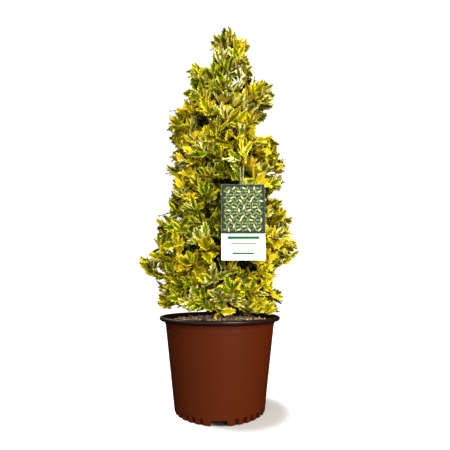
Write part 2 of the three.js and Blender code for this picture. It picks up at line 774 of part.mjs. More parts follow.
function massGeometry(mass, random) {
  const stem = stemCurve(mass);
  const stemRadius = (t) => (t === 1 ? BUD_RADIUS : lerp(BOUGH_TIP_RADIUS, STEM_TIP_RADIUS, t));
  const twigRadius = (t) => (t === 1 ? BUD_RADIUS : lerp(TWIG_ROOT_RADIUS, TWIG_TIP_RADIUS, t));
  let body = solidFrom(limbGeometry(stem, stemRadius, STEM_SIDES, TWIG_STEPS));
  const placed = [];
  for (const rosette of findRosettes(mass, stem, random)) {
    const curve = rosette.curve ?? stem;
    const leaves = rosetteLeaves(curve, mass, placed, random);
    if (rosette.curve && leaves.length < FEWEST_LEAVES) continue;
    if (rosette.curve) {
      body = body.add(solidFrom(limbGeometry(rosette.curve, twigRadius, TWIG_SIDES, TWIG_STEPS)));
    }
    for (const leaf of leaves) {
      body = body.add(solidFrom(leafGeometry(leaf)));
      placed.push(...leafProbes(leaf));
    }
  }
  return geometryFrom(oneBody(body));
}

// A mass whose leaves touch at a single corner or edge is grown again from another seed
function growMass(mass, seed) {
  for (let growth = 0; growth < GROWTHS; growth += 1) {
    const geometry = massGeometry(mass, seededRandom(seed + growth));
    if (closesCleanly(geometry)) return geometry;
  }
  throw new Error(`${mass.name} never closed`);
}

// Hang tag

function tagGeometry() {
  const right = TAG_LEFT + TAG_WIDTH;
  const bottom = TAG_TOP - TAG_HEIGHT;
  const loopLeft = LOOP_MIDDLE - LOOP_OUTER_WIDTH / 2;
  const loopRight = LOOP_MIDDLE + LOOP_OUTER_WIDTH / 2;
  const innerHalf = LOOP_OUTER_WIDTH / 2 - LOOP_STRAND;
  const loopInnerTop = LOOP_PEG.z + BOUGH_TIP_RADIUS + 3 * GAP;
  const shoulder = loopInnerTop - innerHalf;
  const outline = new THREE.Shape();
  outline.moveTo(TAG_LEFT, bottom);
  outline.lineTo(right, bottom);
  outline.lineTo(right, TAG_TOP);
  outline.lineTo(loopRight, TAG_TOP);
  outline.lineTo(loopRight, shoulder);
  outline.absarc(LOOP_MIDDLE, shoulder, LOOP_OUTER_WIDTH / 2, 0, Math.PI, false);
  outline.lineTo(loopLeft, TAG_TOP);
  outline.lineTo(TAG_LEFT, TAG_TOP);
  outline.closePath();
  const window = new THREE.Path();
  window.moveTo(LOOP_MIDDLE - innerHalf, TAG_TOP + WINDOW_SILL);
  window.lineTo(LOOP_MIDDLE + innerHalf, TAG_TOP + WINDOW_SILL);
  window.lineTo(LOOP_MIDDLE + innerHalf, shoulder);
  window.absarc(LOOP_MIDDLE, shoulder, innerHalf, 0, Math.PI, false);
  window.closePath();
  outline.holes.push(window);
  const options = { depth: TAG_THICKNESS, bevelEnabled: false, curveSegments: LOOP_ARC_STEPS };
  const geometry = new THREE.ExtrudeGeometry(outline, options);
  geometry.rotateX(Math.PI / 2);
  geometry.translate(0, TAG_FRONT + TAG_THICKNESS / 2, 0);
  return geometry;
}

// The whole plant

addPart('pot', potGeometry(), 'pot');
addPart('soil', soilGeometry(), 'soil');
addPart('trunk', trunkGeometry(0), 'bark');
for (const plan of plans) {
  addPart(`bough_${plan.label}`, boughGeometry(plan), 'bark');
}
masses.forEach((mass, index) => {
  addPart(mass.name, growMass(mass, FOLIAGE_SEED + index * SEED_STEP), 'foliage');
});
addPart('hang_tag', tagGeometry(), 'tag');

export default plant;
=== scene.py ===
# A gold-edged holly in a nursery pot: the fine leaves, twigs, bark, pot, mulch and tag over the frame.
# Places and sizes are in millimetres, as in the part's source, and each mesh is scaled to metres once.
# The camera, the lamps and the studio's floor are in metres.
import math

import bpy
import numpy as np
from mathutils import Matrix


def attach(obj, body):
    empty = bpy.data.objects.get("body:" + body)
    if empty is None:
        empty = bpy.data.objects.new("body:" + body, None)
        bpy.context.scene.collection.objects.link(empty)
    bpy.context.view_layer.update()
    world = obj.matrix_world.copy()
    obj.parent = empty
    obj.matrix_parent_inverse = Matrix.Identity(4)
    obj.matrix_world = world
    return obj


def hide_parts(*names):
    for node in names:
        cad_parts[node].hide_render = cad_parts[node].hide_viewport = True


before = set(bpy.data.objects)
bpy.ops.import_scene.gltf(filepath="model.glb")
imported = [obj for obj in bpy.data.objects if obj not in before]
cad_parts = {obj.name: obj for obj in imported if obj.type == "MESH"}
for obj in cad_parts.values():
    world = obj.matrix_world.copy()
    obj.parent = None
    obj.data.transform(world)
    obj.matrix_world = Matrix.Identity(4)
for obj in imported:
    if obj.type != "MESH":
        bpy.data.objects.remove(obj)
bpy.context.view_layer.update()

MM = 0.001

# Trunk: the source's foot, tip, sway, taper and root flare
TRUNK_FOOT = np.array([-3.0, 0.0, 205.3])
TRUNK_TIP = np.array([14.0, 2.0, 872.0])
TRUNK_SWAY = np.array([5.0, -3.0, 0.0])
TRUNK_FOOT_RADIUS = 8.0
TRUNK_TIP_RADIUS = 2.2
FLARE_EXTRA = 5.0
FLARE_HEIGHT = 16.0

# Limb meshes: rings, sides and bark relief, with the trunk's rings crowded toward its foot
TRUNK_RINGS = 200
RING_CROWDING = 1.3
TRUNK_SIDES = 20
TRUNK_RELIEF = 0.035
BOUGH_RINGS = 40
BOUGH_SIDES = 10
BOUGH_RELIEF = 0.03
NEARLY_NOTHING = 0.01
ALONG_HELPER = 0.8

# Crown outline: its left and right edge from the pot's axis, and its body radius, by height
CROWN_HEIGHTS = [200, 268, 288, 318, 345, 370, 400, 440, 464, 493, 512, 562,
                 632, 650, 680, 710, 750, 790, 822, 858, 880, 910, 940, 954]
CROWN_LEFT = [142, 148, 144, 184, 195, 180, 152, 162, 131, 143, 122, 138,
              108, 138, 138, 140, 100, 90, 90, 66, 24, 22, 32, 4]
CROWN_RIGHT = [145, 150, 124, 160, 182, 192, 176, 185, 161, 160, 142, 168,
               150, 136, 92, 124, 142, 147, 86, 76, 68, 76, 36, 24]
BODY_HEIGHTS = [200, 340, 520, 720, 820, 900, 954]
BODY_RADII = [138, 168, 152, 118, 78, 42, 12]
CROWN_TOP = 956.0
LOWEST_OVER_SOIL = 209.0
LOWEST_OVER_RIM = 213.0
HANGING_SPAN = (-34.0, 62.0)
RAISED_EDGE_DEPTHS = (-140.0, 140.0)
RAISED_EDGE_HEIGHTS = (219.0, 209.0)
EDGE_DROP = (-8.0, 10.0)
LEFT_RAISE = 12.0
RIM_CLEAR_RADIUS = 116.0
NARROWEST_REACH = 3.0

# The crown's edge in the front view: notches of open sky as x, height and radius, and where fans' tips reach
EDGE_NOTCHES = [(-4, 940, 9), (-45, 858, 14), (-27, 869, 10), (64, 879, 9), (82, 856, 8), (-88, 782, 14),
                (-104, 742, 13), (101, 806, 12), (98, 676, 10), (102, 662, 14), (147, 650, 13),
                (-133, 474, 12), (-168, 375, 17), (135, 502, 14), (146, 318, 9), (136, 281, 15),
                (-107, 226, 9), (-97, 441, 8), (-97, 690, 7), (-120, 362, 8), (-143, 313, 8),
                (12, 807, 8), (35, 798, 7), (120, 556, 8)]
EDGE_FANS = [(20, 948), (-30, 920), (80, 906), (50, 884), (0, 886), (86, 838), (-82, 848), (-136, 702),
             (116, 716), (-127, 640), (-120, 610), (166, 594), (-137, 573), (163, 542), (-138, 492),
             (-162, 442), (187, 400), (191, 363), (-198, 348), (178, 333), (-185, 321), (-151, 283),
             (158, 268)]
FAN_REACH = 30.0
FAN_OVERRUN = 8.0

# Boughs, dealt round the trunk by the golden angle
GOLDEN_ANGLE = math.pi * (3 - math.sqrt(5))
BOUGH_COUNT = 20
LOWEST_HEART = 246.0
HIGHEST_HEART = 878.0
HEART_CROWDING = 1.5
HEART_SHARE = 0.62
BOUGH_SHARE = 0.36
BOUGH_RISE = 0.8
STEM_RISE = 0.44
LOWEST_ROOT = 219.3
BOUGH_SAG = 0.12
BOUGH_TO_TRUNK = 0.5
BOUGH_TAPER = 0.8
BOUGH_TIP_RADIUS = 1.8
STEM_LEAD = 0.45
TOP_HEART = np.array([16.0, 0.0, 910.0])
MASS_FAN = 2.6

# Hang tag
TAG_BOUGH = 11
TAG_WIDTH = 86.4
TAG_HEIGHT = 152.4
TAG_THICKNESS = 0.8
TAG_LEFT = 4.8
TAG_RIGHT = TAG_LEFT + TAG_WIDTH
TAG_TOP = 477.5
TAG_LOW = TAG_TOP - TAG_HEIGHT
TAG_FRONT = -138.0
TAG_FACE = TAG_FRONT - TAG_THICKNESS / 2
TAG_CORNER = 2.0
LOOP_MIDDLE = 45.6
LOOP_WIDTH = 4.6
LOOP_STRAND_RADIUS = 0.75
LOOP_PEG = np.array([LOOP_MIDDLE, TAG_FRONT, 512.0])
PEG_OVERRUN = 8.0
PEG_OVER_ROOT = 62.0
TAG_HEART_RISE = np.array([0.0, 8.0, 26.0])
TAG_CLEARANCE = 3.0
TAG_SURROUND = 22.0
BEHIND_TAG = 26.0

# The tag's print: a field of leaf motifs over a panel of rules, each an inset, rise, height and finish
PANEL_TOP = TAG_LOW + 0.345 * TAG_HEIGHT
FIELD_INSET = 0.15
PRINT_LIFT = 0.05
PRINT_THICKNESS = 0.04
CORNER_STEPS = 4
PLATE_MIDDLE = 0.02
MOTIF_ROWS = 14
MOTIF_COLUMNS = 11
MOTIF_SIDE_MARGIN = 6.0
MOTIF_END_MARGIN = 5.0
MOTIF_HALF_LENGTH = 4.3
MOTIF_SLENDERNESS = 0.38
MOTIF_POINTS = 12
MOTIF_WAVE = (0.85, 1.15)
TAG_RULES = [(12, 42, 5.5, 4), (18, 32, 2.2, 3), (9, 24, 1.2, 3), (22, 12, 3.6, 4)]
RULE_CORNER = 0.4

# The tag's loop
LOOP_CLEARANCE = 0.4
LOOP_TUCK = 1.5
LOOP_RINGS = 13
LOOP_SIDES = 8

# Finer foliage than the source's, grown by the same rule
FOLIAGE_SEED = 7456
LIMB_SEED = 7457
MULCH_SEED = 7458
SHOOT_SPACINGS = (30.5, 31.0, 35.0)
TOP_SPACING_GAIN = (1.0, 0.84)
SHOOT_TRIES = 2200
SHELL_STARTS = (0.93, 0.7, 0.36)
SHELL_ENDS = (1.06, 0.86, 0.68)
SHELL_SHARES = (0.58, 0.84, 1.0)
SHOOT_BAND = 190.0
TIP_ALLOWANCES = (27.0, 16.0)
SHOOT_INSET = 2.0
SHOOT_FORWARD = 0.6
SHOOT_RISES = (0.68, 1.0)
UPRIGHT_WITHIN = 30.0
CELL_OVERLAP = 7.0
TIP_OVERRUN = 12.0
TOP_OVERRUN = 20.0
TOP_HEIGHTS = (830.0, 910.0)
OUTLINE_OVERRUN = (-14.0, 14.0)
TWIG_TURN_COST = 1.5
TWIG_LEAD = 0.3
TWIG_TIP_RADIUS = 0.8
TWIG_FORKS = np.array([0.35, 0.55, 0.75])
TWIG_ROOT_RADIUS = 1.3
TWIG_WANDER = 1.5
NEVER_ZERO = 1e-6
STEM_RINGS = 9
STEM_SIDES = 6
TWIG_RINGS = 6
TWIG_SIDES = 5
LEAVES_PER_SHOOT = 10
LEAF_STRETCH = 24.0
FEWEST_LEAVES = 3
LEAF_LENGTH = 38.0
LEAF_HALF_WIDTH = 11.2
LEAF_SLENDERNESS = (0.78, 1.14)
LEAF_VARIANTS = 16
LEAF_PIECES = 6
TRUNK_CLEARANCE = 9.0

# A shoot's leaves from its end down: how far each spreads from it, its size, and its chance turns
SPREAD_AT_END = 0.24
SPREAD_POWER = 0.8
SPREAD_JITTER = 0.12
SIZE_AT_END = 0.72
SIZE_GAIN = 0.34
SIZE_RANGE = (0.78, 1.16)
TURN_JITTER = 0.15
ROLL_JITTER = 0.35
TURN_START = (0.3, 0.2, 1.0)

# Leaf outline from stalk to tip: four forward spines a side
LEAF_STATIONS = np.array([0.0, 0.09, 0.2, 0.34, 0.39, 0.53, 0.58, 0.71, 0.76, 0.86, 0.91, 1.0])
LEAF_WIDTHS = np.array([0.08, 0.12, 0.5, 0.94, 0.7, 1.0, 0.62, 0.74, 0.37, 0.36, 0.12, 0.01])
SPINE_STATIONS = (3, 5, 7, 9)
SPINE_REACH = 0.06
SPINE_LIFT = (-1.0, 2.4)
EDGE_JITTER = 0.06
LEAF_FOLD = (0.05, 0.3)
LEAF_CURL = (-3.0, 6.0)

# The green middle and its darker core, as shares of each half's width
GREEN_SHARE = (0.6, 0.92)
GREEN_JITTER = 0.13
GREEN_LIMITS = (0.14, 0.88)
CORE_SHARE = 0.58
CORE_JITTER = 0.22
CORE_LIMITS = (0.15, 0.85)

# Leaf colours: each palette is a name, a gloss, and a margin, a middle and a core colour
LEAF_PALETTES = [
    ("gold", 0.02, [(247, 219, 62), (199, 175, 0), (108, 120, 0)]),
    ("cream", 0.05, [(252, 238, 186), (200, 186, 40), (90, 114, 20)]),
    ("yellow", 0.02, [(248, 224, 104), (217, 192, 8), (188, 170, 0)]),
    ("green", 0.03, [(228, 208, 56), (118, 137, 0), (66, 91, 0)]),
    # The shade palette is painted shade: dark leaves for the sprays deep inside the crown
    ("shade", 0.0, [(116, 108, 0), (52, 66, 0), (26, 38, 0)]),
]
OWN_PALETTE_CHANCE = 0.75

# The palettes' chances by depth in the crown, darker deeper in as painted shade, and the places that are
# greener: x, height and radius
DEALT_OUTSIDE = [0.46, 0.27, 0.23, 0.04, 0.0]
DEALT_GREENER = [0.28, 0.24, 0.0, 0.48, 0.0]
DEALT_BETWEEN = [0.26, 0.05, 0.09, 0.42, 0.18]
DEALT_INSIDE = [0.05, 0.0, 0.0, 0.3, 0.65]
PALETTE_STRIPS = 3
OUTSIDE_DEPTH = 46.0
BETWEEN_DEPTH = 72.0
GREENNESS = (0.0, 0.36)
# Greener sprays down the crown's middle: a real leaf colour, dealt there as painted shade for the middle's
# deeper gaps
GREENER_MIDDLE = 0.36
MIDDLE_HALF = 70.0
GREENER_PLACES = [(-78, 812, 40), (22, 815, 20), (-165, 335, 48), (-124, 422, 36), (-90, 268, 36)]
GREENER_DEPTH = 40.0
GREENER_CHANCE = 0.85

# Pot: its rim's bead, wall, groove and collar, then the foot's channel, flutes and drain openings
RIM_RADIUS = 140.0
RIM_TOP = 209.0
BEAD_RADIUS = 4.8
FOOT_RADIUS = 103.3
WALL_SLOPE = 0.1203
WALL_THICKNESS = 2.4
COLLAR_HEIGHT = 192.0
COLLAR_TOP = 197.0
COLLAR_STEP = 1.2
GROOVE_HEIGHT = 180.0
GROOVE_DEPTH = 0.7
GROOVE_HALF_WIDTH = 1.0
GROOVE_FLOOR_HALF_WIDTH = 0.4
COLLAR_LEDGE = 0.8
BEAD_LAP = 0.1
BEAD_SINK = 0.05
BEAD_ARC_DEG = (-115, 166)
BEAD_STEP_DEG = 14
WALL_ROW_HEIGHTS = np.linspace(24, 174, 16)
INNER_WALL_TOP = 198.0
INNER_WALL_FOOT = 150.0
BASE_DISC_RADIUS = 80.0
CHANNEL_INNER = 84.0
CHANNEL_OUTER = 98.0
CHANNEL_HEIGHT = 12.5
SKIRT_HEIGHT = 15.0
FLUTE_HALF_WIDTH = 4.5
FLUTE_HEIGHT = 13.5
FLUTE_DEPTH = 2.6
FLUTE_PITCH_DEG = 10
FIRST_FLUTE = 2
SKIRT_ROWS = 31
DRAIN_FOOT_WIDTH = 36.0
DRAIN_TOP_WIDTH = 31.0
DRAIN_HEIGHT = 11.5
POT_SEGMENTS = 720
CHANNEL_SEGMENTS = 180

# Mulch: its ground, and chips by their spans of length, width and thickness
SOIL_TOP = 205.0
SOIL_EDGE = 195.0
SOIL_RADIUS = 123.6
MULCH_RADII = [0.0, 30.0, 80.0, SOIL_RADIUS]
MULCH_HEIGHTS = [SOIL_TOP, SOIL_TOP, 202.0, SOIL_EDGE]
GROUND_UNDER_CHIPS = 1.6
GROUND_JITTER = 0.7
GROUND_RINGS = 48
GROUND_SEGMENTS = 240
GROUND_MIDDLE = 0.5
CHIP_COUNT = 900
CHIP_SIZES = [(4.5, 12.0), (1.5, 3.6), (0.5, 1.3)]
CHIP_JITTER = 0.22
CHIP_TILT = 0.5
CHIP_SINK = (-0.4, 1.2)
CHIP_WALL_GAP = 7.0
CHIP_TRUNK_GAP = 14.0

# Camera, on a 36 mm sensor
CAMERA_PLACE = (0.012, -0.714, 0.264)
CAMERA_PITCH_DEG = 5.16
CAMERA_LENS = 23.8
CAMERA_SHIFT_Y = 0.089
CAMERA_CLIP = 0.01

# Studio, in metres: a bowl-shaped floor and backdrop, painted shade under the pot, glowing beyond the pot's
# shadow
FLOOR_TONE = (216, 216, 216)
UNDER_POT_PAINTED_SHADE = (52, 54, 58)
FLOOR_MIDDLE = 0.01
FLOOR_RADIUS = 6.0
COVE_RADIUS = 3.0
COVE_RINGS = 16
BACKDROP_HEIGHT = 14.0
FLOOR_SEGMENTS = 96
WORLD_STRENGTH = 0.34
FLOOR_GLOW = 0.86
GLOW_CENTRE = (0.047, -0.018, 0.0)
GLOW_START = 0.086
GLOW_FULL = 0.143
PAINTED_SHADE_EDGE = (0.097, 0.104)

# Lamps: name, place in metres, width, watts, turn in degrees and colour
LAMPS = [
    ("key", (1.15, -3.0, 2.05), 1.5, 108, (63, 0, 20), (1.0, 1.0, 1.0)),
    ("low", (0.9, -2.5, 0.42), 1.0, 16, (87, 0, 20), (1.0, 0.97, 0.92)),
    ("side", (1.3, -2.3, 1.0), 0.7, 52, (80, 0, 30), (1.0, 0.9, 0.62)),
    ("left", (-1.3, -2.2, 0.66), 0.7, 11, (82, 0, -31), (1.0, 1.0, 0.94)),
    ("back", (-1.3, 0.7, 2.0), 1.6, 60, (-22, -30, 0), (1.0, 1.0, 1.0)),
]

# Finishes: a colour, a second one where it is mottled, and the look of its surface
LEAF_FINISH = {"roughness": 0.38, "grain": 2, "grain_size": 3, "relief": 0.15}
PLASTIC = {"grain": 2, "grain_size": 1.2}
CHIP = {"roughness": 0.9, "grain": 4, "grain_size": 2, "relief": 0.5, "gloss": 0.1}
CARD = {"grain": 1, "grain_size": 2, "relief": 0.02}
PRINT = {**CARD, "roughness": 0.5, "gloss": 0.04}
FINISHES = {
    "bark": {"color": (108, 90, 64), "second": (66, 56, 40), "roughness": 0.8, "grain": 6, "grain_size": 4,
             "relief": 0.7, "gloss": 0.1},
    "twig_bark": {"color": (92, 86, 16), "roughness": 0.6, "grain": 3, "grain_size": 2, "relief": 0.3,
                  "gloss": 0.05},
    "pot_plastic": {**PLASTIC, "color": (78, 28, 4), "roughness": 0.42, "relief": 0.12, "gloss": 0.18},
    # The flutes' darker plastic is painted shade in their recesses
    "pot_flute_painted_shade": {**PLASTIC, "color": (50, 14, 2), "roughness": 0.4, "relief": 0.12, "gloss": 0.1},
    # The rim and the wall's inner face: the body's plastic darkened as painted shade
    "pot_rim_plastic_painted_shade": {**PLASTIC, "color": (34, 19, 17), "roughness": 0.34, "relief": 0.1, "gloss": 0.24},
    # The mulch's colours are paler than the bark's own, as painted light for the mulch under the crown's
    # shade
    "mulch_ground": {"color": (214, 180, 154), "second": (150, 118, 98), "roughness": 0.95, "grain": 8,
                     "grain_size": 3, "relief": 0.9, "gloss": 0.1},
    "mulch_chip_pale": {**CHIP, "color": (250, 228, 210)},
    "mulch_chip_brown": {**CHIP, "color": (232, 200, 176)},
    "mulch_chip_dark": {**CHIP, "color": (176, 144, 124)},
    "tag_card": {**CARD, "color": (244, 245, 242), "roughness": 0.3, "gloss": 0.5},
    "tag_field": {**PRINT, "color": (44, 56, 50)},
    "tag_motif_green": {**PRINT, "color": (124, 142, 84)},
    "tag_motif_cream": {**PRINT, "color": (214, 204, 140)},
    "tag_motif_sage": {**PRINT, "color": (84, 112, 86)},
    "tag_rule": {**PRINT, "color": (24, 96, 62)},
    "tag_strand": {**CARD, "color": (176, 178, 146), "roughness": 0.35, "gloss": 0.5},
    "studio_floor": {"color": FLOOR_TONE, "roughness": 0.8, "grain": 1, "grain_size": 40, "relief": 0.02,
                     "gloss": 0.0},
}


# Colours and materials

def linear(red, green, blue):
    """A colour given on the 0 to 255 scale, as linear values."""
    values = [channel / 255 for channel in (red, green, blue)]
    return [v / 12.92 if v <= 0.04045 else ((v + 0.055) / 1.055) ** 2.4 for v in values] + [1.0]


def surface(name, color, roughness, grain, grain_size, relief, gloss, second=None):
    """A procedural finish: a plain or mottled colour, with fine noise relief of a grain size in mm."""
    material = bpy.data.materials.new(name)
    material.use_nodes = True
    nodes = material.node_tree.nodes
    links = material.node_tree.links
    shader = nodes["Principled BSDF"]
    shader.inputs["Base Color"].default_value = linear(*color)
    shader.inputs["Roughness"].default_value = roughness
    shader.inputs["Specular IOR Level"].default_value = gloss
    place = nodes.new("ShaderNodeTexCoord")
    noise = nodes.new("ShaderNodeTexNoise")
    noise.inputs["Scale"].default_value = 1 / (grain_size * MM)
    noise.inputs["Detail"].default_value = grain
    links.new(place.outputs["Object"], noise.inputs["Vector"])
    bump = nodes.new("ShaderNodeBump")
    bump.inputs["Strength"].default_value = relief
    bump.inputs["Distance"].default_value = MM
    links.new(noise.outputs["Fac"], bump.inputs["Height"])
    links.new(bump.outputs["Normal"], shader.inputs["Normal"])
    if second:
        mix = nodes.new("ShaderNodeMix")
        mix.data_type = "RGBA"
        mix.inputs["A"].default_value = linear(*color)
        mix.inputs["B"].default_value = linear(*second)
        links.new(noise.outputs["Fac"], mix.inputs["Factor"])
        links.new(mix.outputs["Result"], shader.inputs["Base Color"])
    return material


# Meshes

class Sheaf:
    """Gathers quads of one kind, to become one joined piece."""

    def __init__(self):
        self.points = []
        self.quads = []
        self.finishes = []
        self.count = 0

    def add(self, points, quads, finishes=0):
        self.points.append(points)
        self.quads.append(quads + self.count)
        self.finishes.append(np.broadcast_to(finishes, len(quads)))
        self.count += len(points)

    def build(self, name, materials, replaced=(), sharp_deg=None):
        points = np.concatenate(self.points) * MM
        quads = np.concatenate(self.quads)
        mesh = bpy.data.meshes.new(name)
        mesh.vertices.add(len(points))
        mesh.vertices.foreach_set("co", points.astype(np.float32).ravel())
        mesh.loops.add(quads.size)
        mesh.loops.foreach_set("vertex_index", quads.astype(np.int32).ravel())
        mesh.polygons.add(len(quads))
        mesh.polygons.foreach_set("loop_start", np.arange(0, quads.size, 4, dtype=np.int32))
        mesh.polygons.foreach_set("material_index", np.concatenate(self.finishes).astype(np.int32))
        mesh.update(calc_edges=True)
        mesh.shade_smooth()
        if sharp_deg:
            mesh.set_sharp_from_angle(angle=math.radians(sharp_deg))
        for material in materials:
            mesh.materials.append(material)
        piece = bpy.data.objects.new(name, mesh)
        bpy.context.scene.collection.objects.link(piece)
        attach(piece, "root")
        if replaced:
            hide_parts(*replaced)


def grid_quads(rows, columns, closed=False):
    """The quads of a grid of points stored row by row; a closed grid joins its last column to its first."""
    across = columns if closed else columns - 1
    row, column = np.meshgrid(np.arange(rows - 1), np.arange(across), indexing="ij")
    following = (column + 1) % columns
    corners = [row * columns + column, row * columns + following,
               (row + 1) * columns + following, (row + 1) * columns + column]
    return np.stack(corners, axis=-1).reshape(-1, 4)


def unit(vector):
    return vector / np.linalg.norm(vector, axis=-1, keepdims=True)


def tube(points, radii, sides, relief=0.0, rng=None):
    """A limb: rings along a line of points, closed by shrinking its last rings to nothing."""
    tangents = unit(np.gradient(points, axis=0))
    helper = np.array([1.0, 0.0, 0.0]) if abs(tangents[0][0]) < ALONG_HELPER else np.array([0.0, 1.0, 0.0])
    first = unit(np.cross(tangents, helper))
    second = np.cross(tangents, first)
    angles = np.arange(sides) * 2 * math.pi / sides
    around = np.cos(angles)[None, :, None] * first[:, None] + np.sin(angles)[None, :, None] * second[:, None]
    swell = np.ones((len(points), sides))
    if relief:
        swell += relief * rng.standard_normal((len(points), sides))
        swell += relief * rng.standard_normal(sides)[None, :]
    rings = points[:, None] + around * (radii[:, None] * swell)[:, :, None]
    ends = np.repeat(points[[0, -1]][:, None], sides, axis=1) + around[[0, -1]] * NEARLY_NOTHING
    rings = np.concatenate([ends[:1], rings, ends[1:]])
    return rings.reshape(-1, 3), grid_quads(len(rings), sides, closed=True)


def bezier(start, bend, end, t):
    t = np.asarray(t)[..., None]
    return (1 - t) ** 2 * start + 2 * t * (1 - t) * bend + t ** 2 * end


def bezier_tangent(start, bend, end, t):
    t = np.asarray(t)[..., None]
    return unit((1 - t) * (bend - start) + t * (end - bend))


# The plan of the plant, by the source's rule

def trunk_axis(height):
    height = np.asarray(height, dtype=float)
    t = (height - TRUNK_FOOT[2]) / (TRUNK_TIP[2] - TRUNK_FOOT[2])
    swing = np.sin(np.clip(t, 0, 1) * 2 * math.pi)
    return TRUNK_FOOT + t[..., None] * (TRUNK_TIP - TRUNK_FOOT) + swing[..., None] * TRUNK_SWAY


def trunk_radius(height):
    t = np.clip((height - TRUNK_FOOT[2]) / (TRUNK_TIP[2] - TRUNK_FOOT[2]), 0, 1)
    flare = FLARE_EXTRA * np.exp(-(height - TRUNK_FOOT[2]) / FLARE_HEIGHT)
    return TRUNK_FOOT_RADIUS + t * (TRUNK_TIP_RADIUS - TRUNK_FOOT_RADIUS) + flare


def crown_reach(height, azimuth):
    """How far the crown reaches from the trunk's axis, at a height and bearing."""
    lean = trunk_axis(height)[..., 0]
    right = np.interp(height, CROWN_HEIGHTS, CROWN_RIGHT) - lean
    left = np.interp(height, CROWN_HEIGHTS, CROWN_LEFT) + lean
    side = np.where(np.cos(azimuth) > 0, right, left)
    body = np.interp(height, BODY_HEIGHTS, BODY_RADII)
    share = np.cos(azimuth) ** 2
    return body * (1 - share) + side * share


def outward(azimuth):
    azimuth = np.asarray(azimuth, dtype=float)
    return np.stack([np.cos(azimuth), np.sin(azimuth), np.zeros_like(azimuth)], axis=-1)


def at_share(height, azimuth, share):
    reach = crown_reach(height, azimuth) * share
    return trunk_axis(height) + outward(azimuth) * np.asarray(reach)[..., None]


def plan_bough(index):
    share = ((index + 0.5) / BOUGH_COUNT) ** HEART_CROWDING
    height = LOWEST_HEART + share * (HIGHEST_HEART - LOWEST_HEART)
    azimuth = math.atan2(LOOP_PEG[1], LOOP_PEG[0]) + (index - TAG_BOUGH) * GOLDEN_ANGLE
    reach = float(crown_reach(height, azimuth))
    heart = at_share(height, azimuth, HEART_SHARE)
    tip = at_share(height, azimuth, BOUGH_SHARE)
    tip[2] -= STEM_RISE * reach * (HEART_SHARE - BOUGH_SHARE)
    root_height = max(LOWEST_ROOT, tip[2] - BOUGH_RISE * reach * BOUGH_SHARE)
    if index == TAG_BOUGH:
        root_height = LOOP_PEG[2] - PEG_OVER_ROOT
        tip = LOOP_PEG + PEG_OVERRUN * unit(LOOP_PEG - trunk_axis(root_height))
        heart = tip + TAG_HEART_RISE
    root = trunk_axis(root_height)
    bend = (root + tip) / 2
    if index != TAG_BOUGH:
        bend[2] -= BOUGH_SAG * np.linalg.norm(tip - root)
    along = bezier_tangent(root, bend, tip, 1.0)
    return {"name": f"{index + 1:02d}", "azimuth": azimuth, "heart": heart, "foot": tip, "along": along,
            "root": root, "bend": bend, "root_height": root_height, "fan": MASS_FAN}


boughs = [plan_bough(index) for index in range(BOUGH_COUNT)]
top_mass = {"name": "top", "azimuth": 0.0, "heart": TOP_HEART, "foot": TRUNK_TIP,
            "along": np.array([0.0, 0.0, 1.0]), "fan": 2 * math.pi}
masses = boughs + [top_mass]
hearts = np.array([mass["heart"] for mass in masses])


def in_own_cell(points, mass, margin):
    own = np.sum((points - mass["heart"]) ** 2, axis=-1)
    others = np.sum((points[..., None, :] - hearts) ** 2, axis=-1)
    between = np.linalg.norm(hearts - mass["heart"], axis=-1)
    clear = others - own[..., None] >= 2 * between * margin
    return np.all(clear | (between == 0), axis=-1)


def clear_of_tag(points):
    x, y, z = np.moveaxis(points, -1, 0)
    behind = y > TAG_FRONT + TAG_CLEARANCE
    beside = (x < TAG_LEFT - TAG_CLEARANCE) | (x > TAG_RIGHT + TAG_CLEARANCE)
    over = (z > TAG_TOP + TAG_CLEARANCE) | (z < TAG_LOW - TAG_CLEARANCE)
    beside_loop = np.abs(x - LOOP_MIDDLE) > LOOP_WIDTH / 2 + TAG_CLEARANCE
    over_loop = (z > LOOP_PEG[2] + TAG_CLEARANCE) | (z < TAG_TOP)
    return (beside | over | behind) & (beside_loop | over_loop | behind)


def in_crown(points, allowance, drop=0.0):
    """Whether points lie in the crown's body; its raised lower edge may be dropped toward the rim."""
    x, y, z = np.moveaxis(points, -1, 0)
    axis = trunk_axis(z)
    away = np.hypot(x - axis[..., 0], y - axis[..., 1])
    azimuth = np.arctan2(y - axis[..., 1], x - axis[..., 0])
    reach = np.maximum(NARROWEST_REACH, crown_reach(z, azimuth) - allowance)
    floor = np.where(np.hypot(x, y) > RIM_CLEAR_RADIUS, LOWEST_OVER_RIM, LOWEST_OVER_SOIL)
    hanging = (x > HANGING_SPAN[0]) & (x < HANGING_SPAN[1]) & (y < 0)
    raised = np.interp(y, RAISED_EDGE_DEPTHS, RAISED_EDGE_HEIGHTS) - drop
    raised += LEFT_RAISE * ((x < HANGING_SPAN[0]) & (y < 0))
    floor = np.where(hanging, floor, np.maximum(floor, raised))
    return (away <= reach) & (z > floor) & (z <= CROWN_TOP - np.maximum(0, allowance))


def in_outline(points, allowance):
    """Whether points stay inside the crown's outline as it shows from the front viewpoint."""
    eye = np.array(CAMERA_PLACE) / MM
    seen = eye + (points - eye) * (eye[1] / (eye[1] - points[..., 1:2]))
    x, z = seen[..., 0], seen[..., 2]
    left = np.interp(z, CROWN_HEIGHTS, CROWN_LEFT) - allowance
    right = np.interp(z, CROWN_HEIGHTS, CROWN_RIGHT) - allowance
    inside = (x > -left) & (x < right) & (z < CROWN_HEIGHTS[-1] - allowance)
    for notch_x, notch_height, radius in EDGE_NOTCHES:
        inside &= np.hypot(x - notch_x, z - notch_height) > radius
    return inside


# Leaves

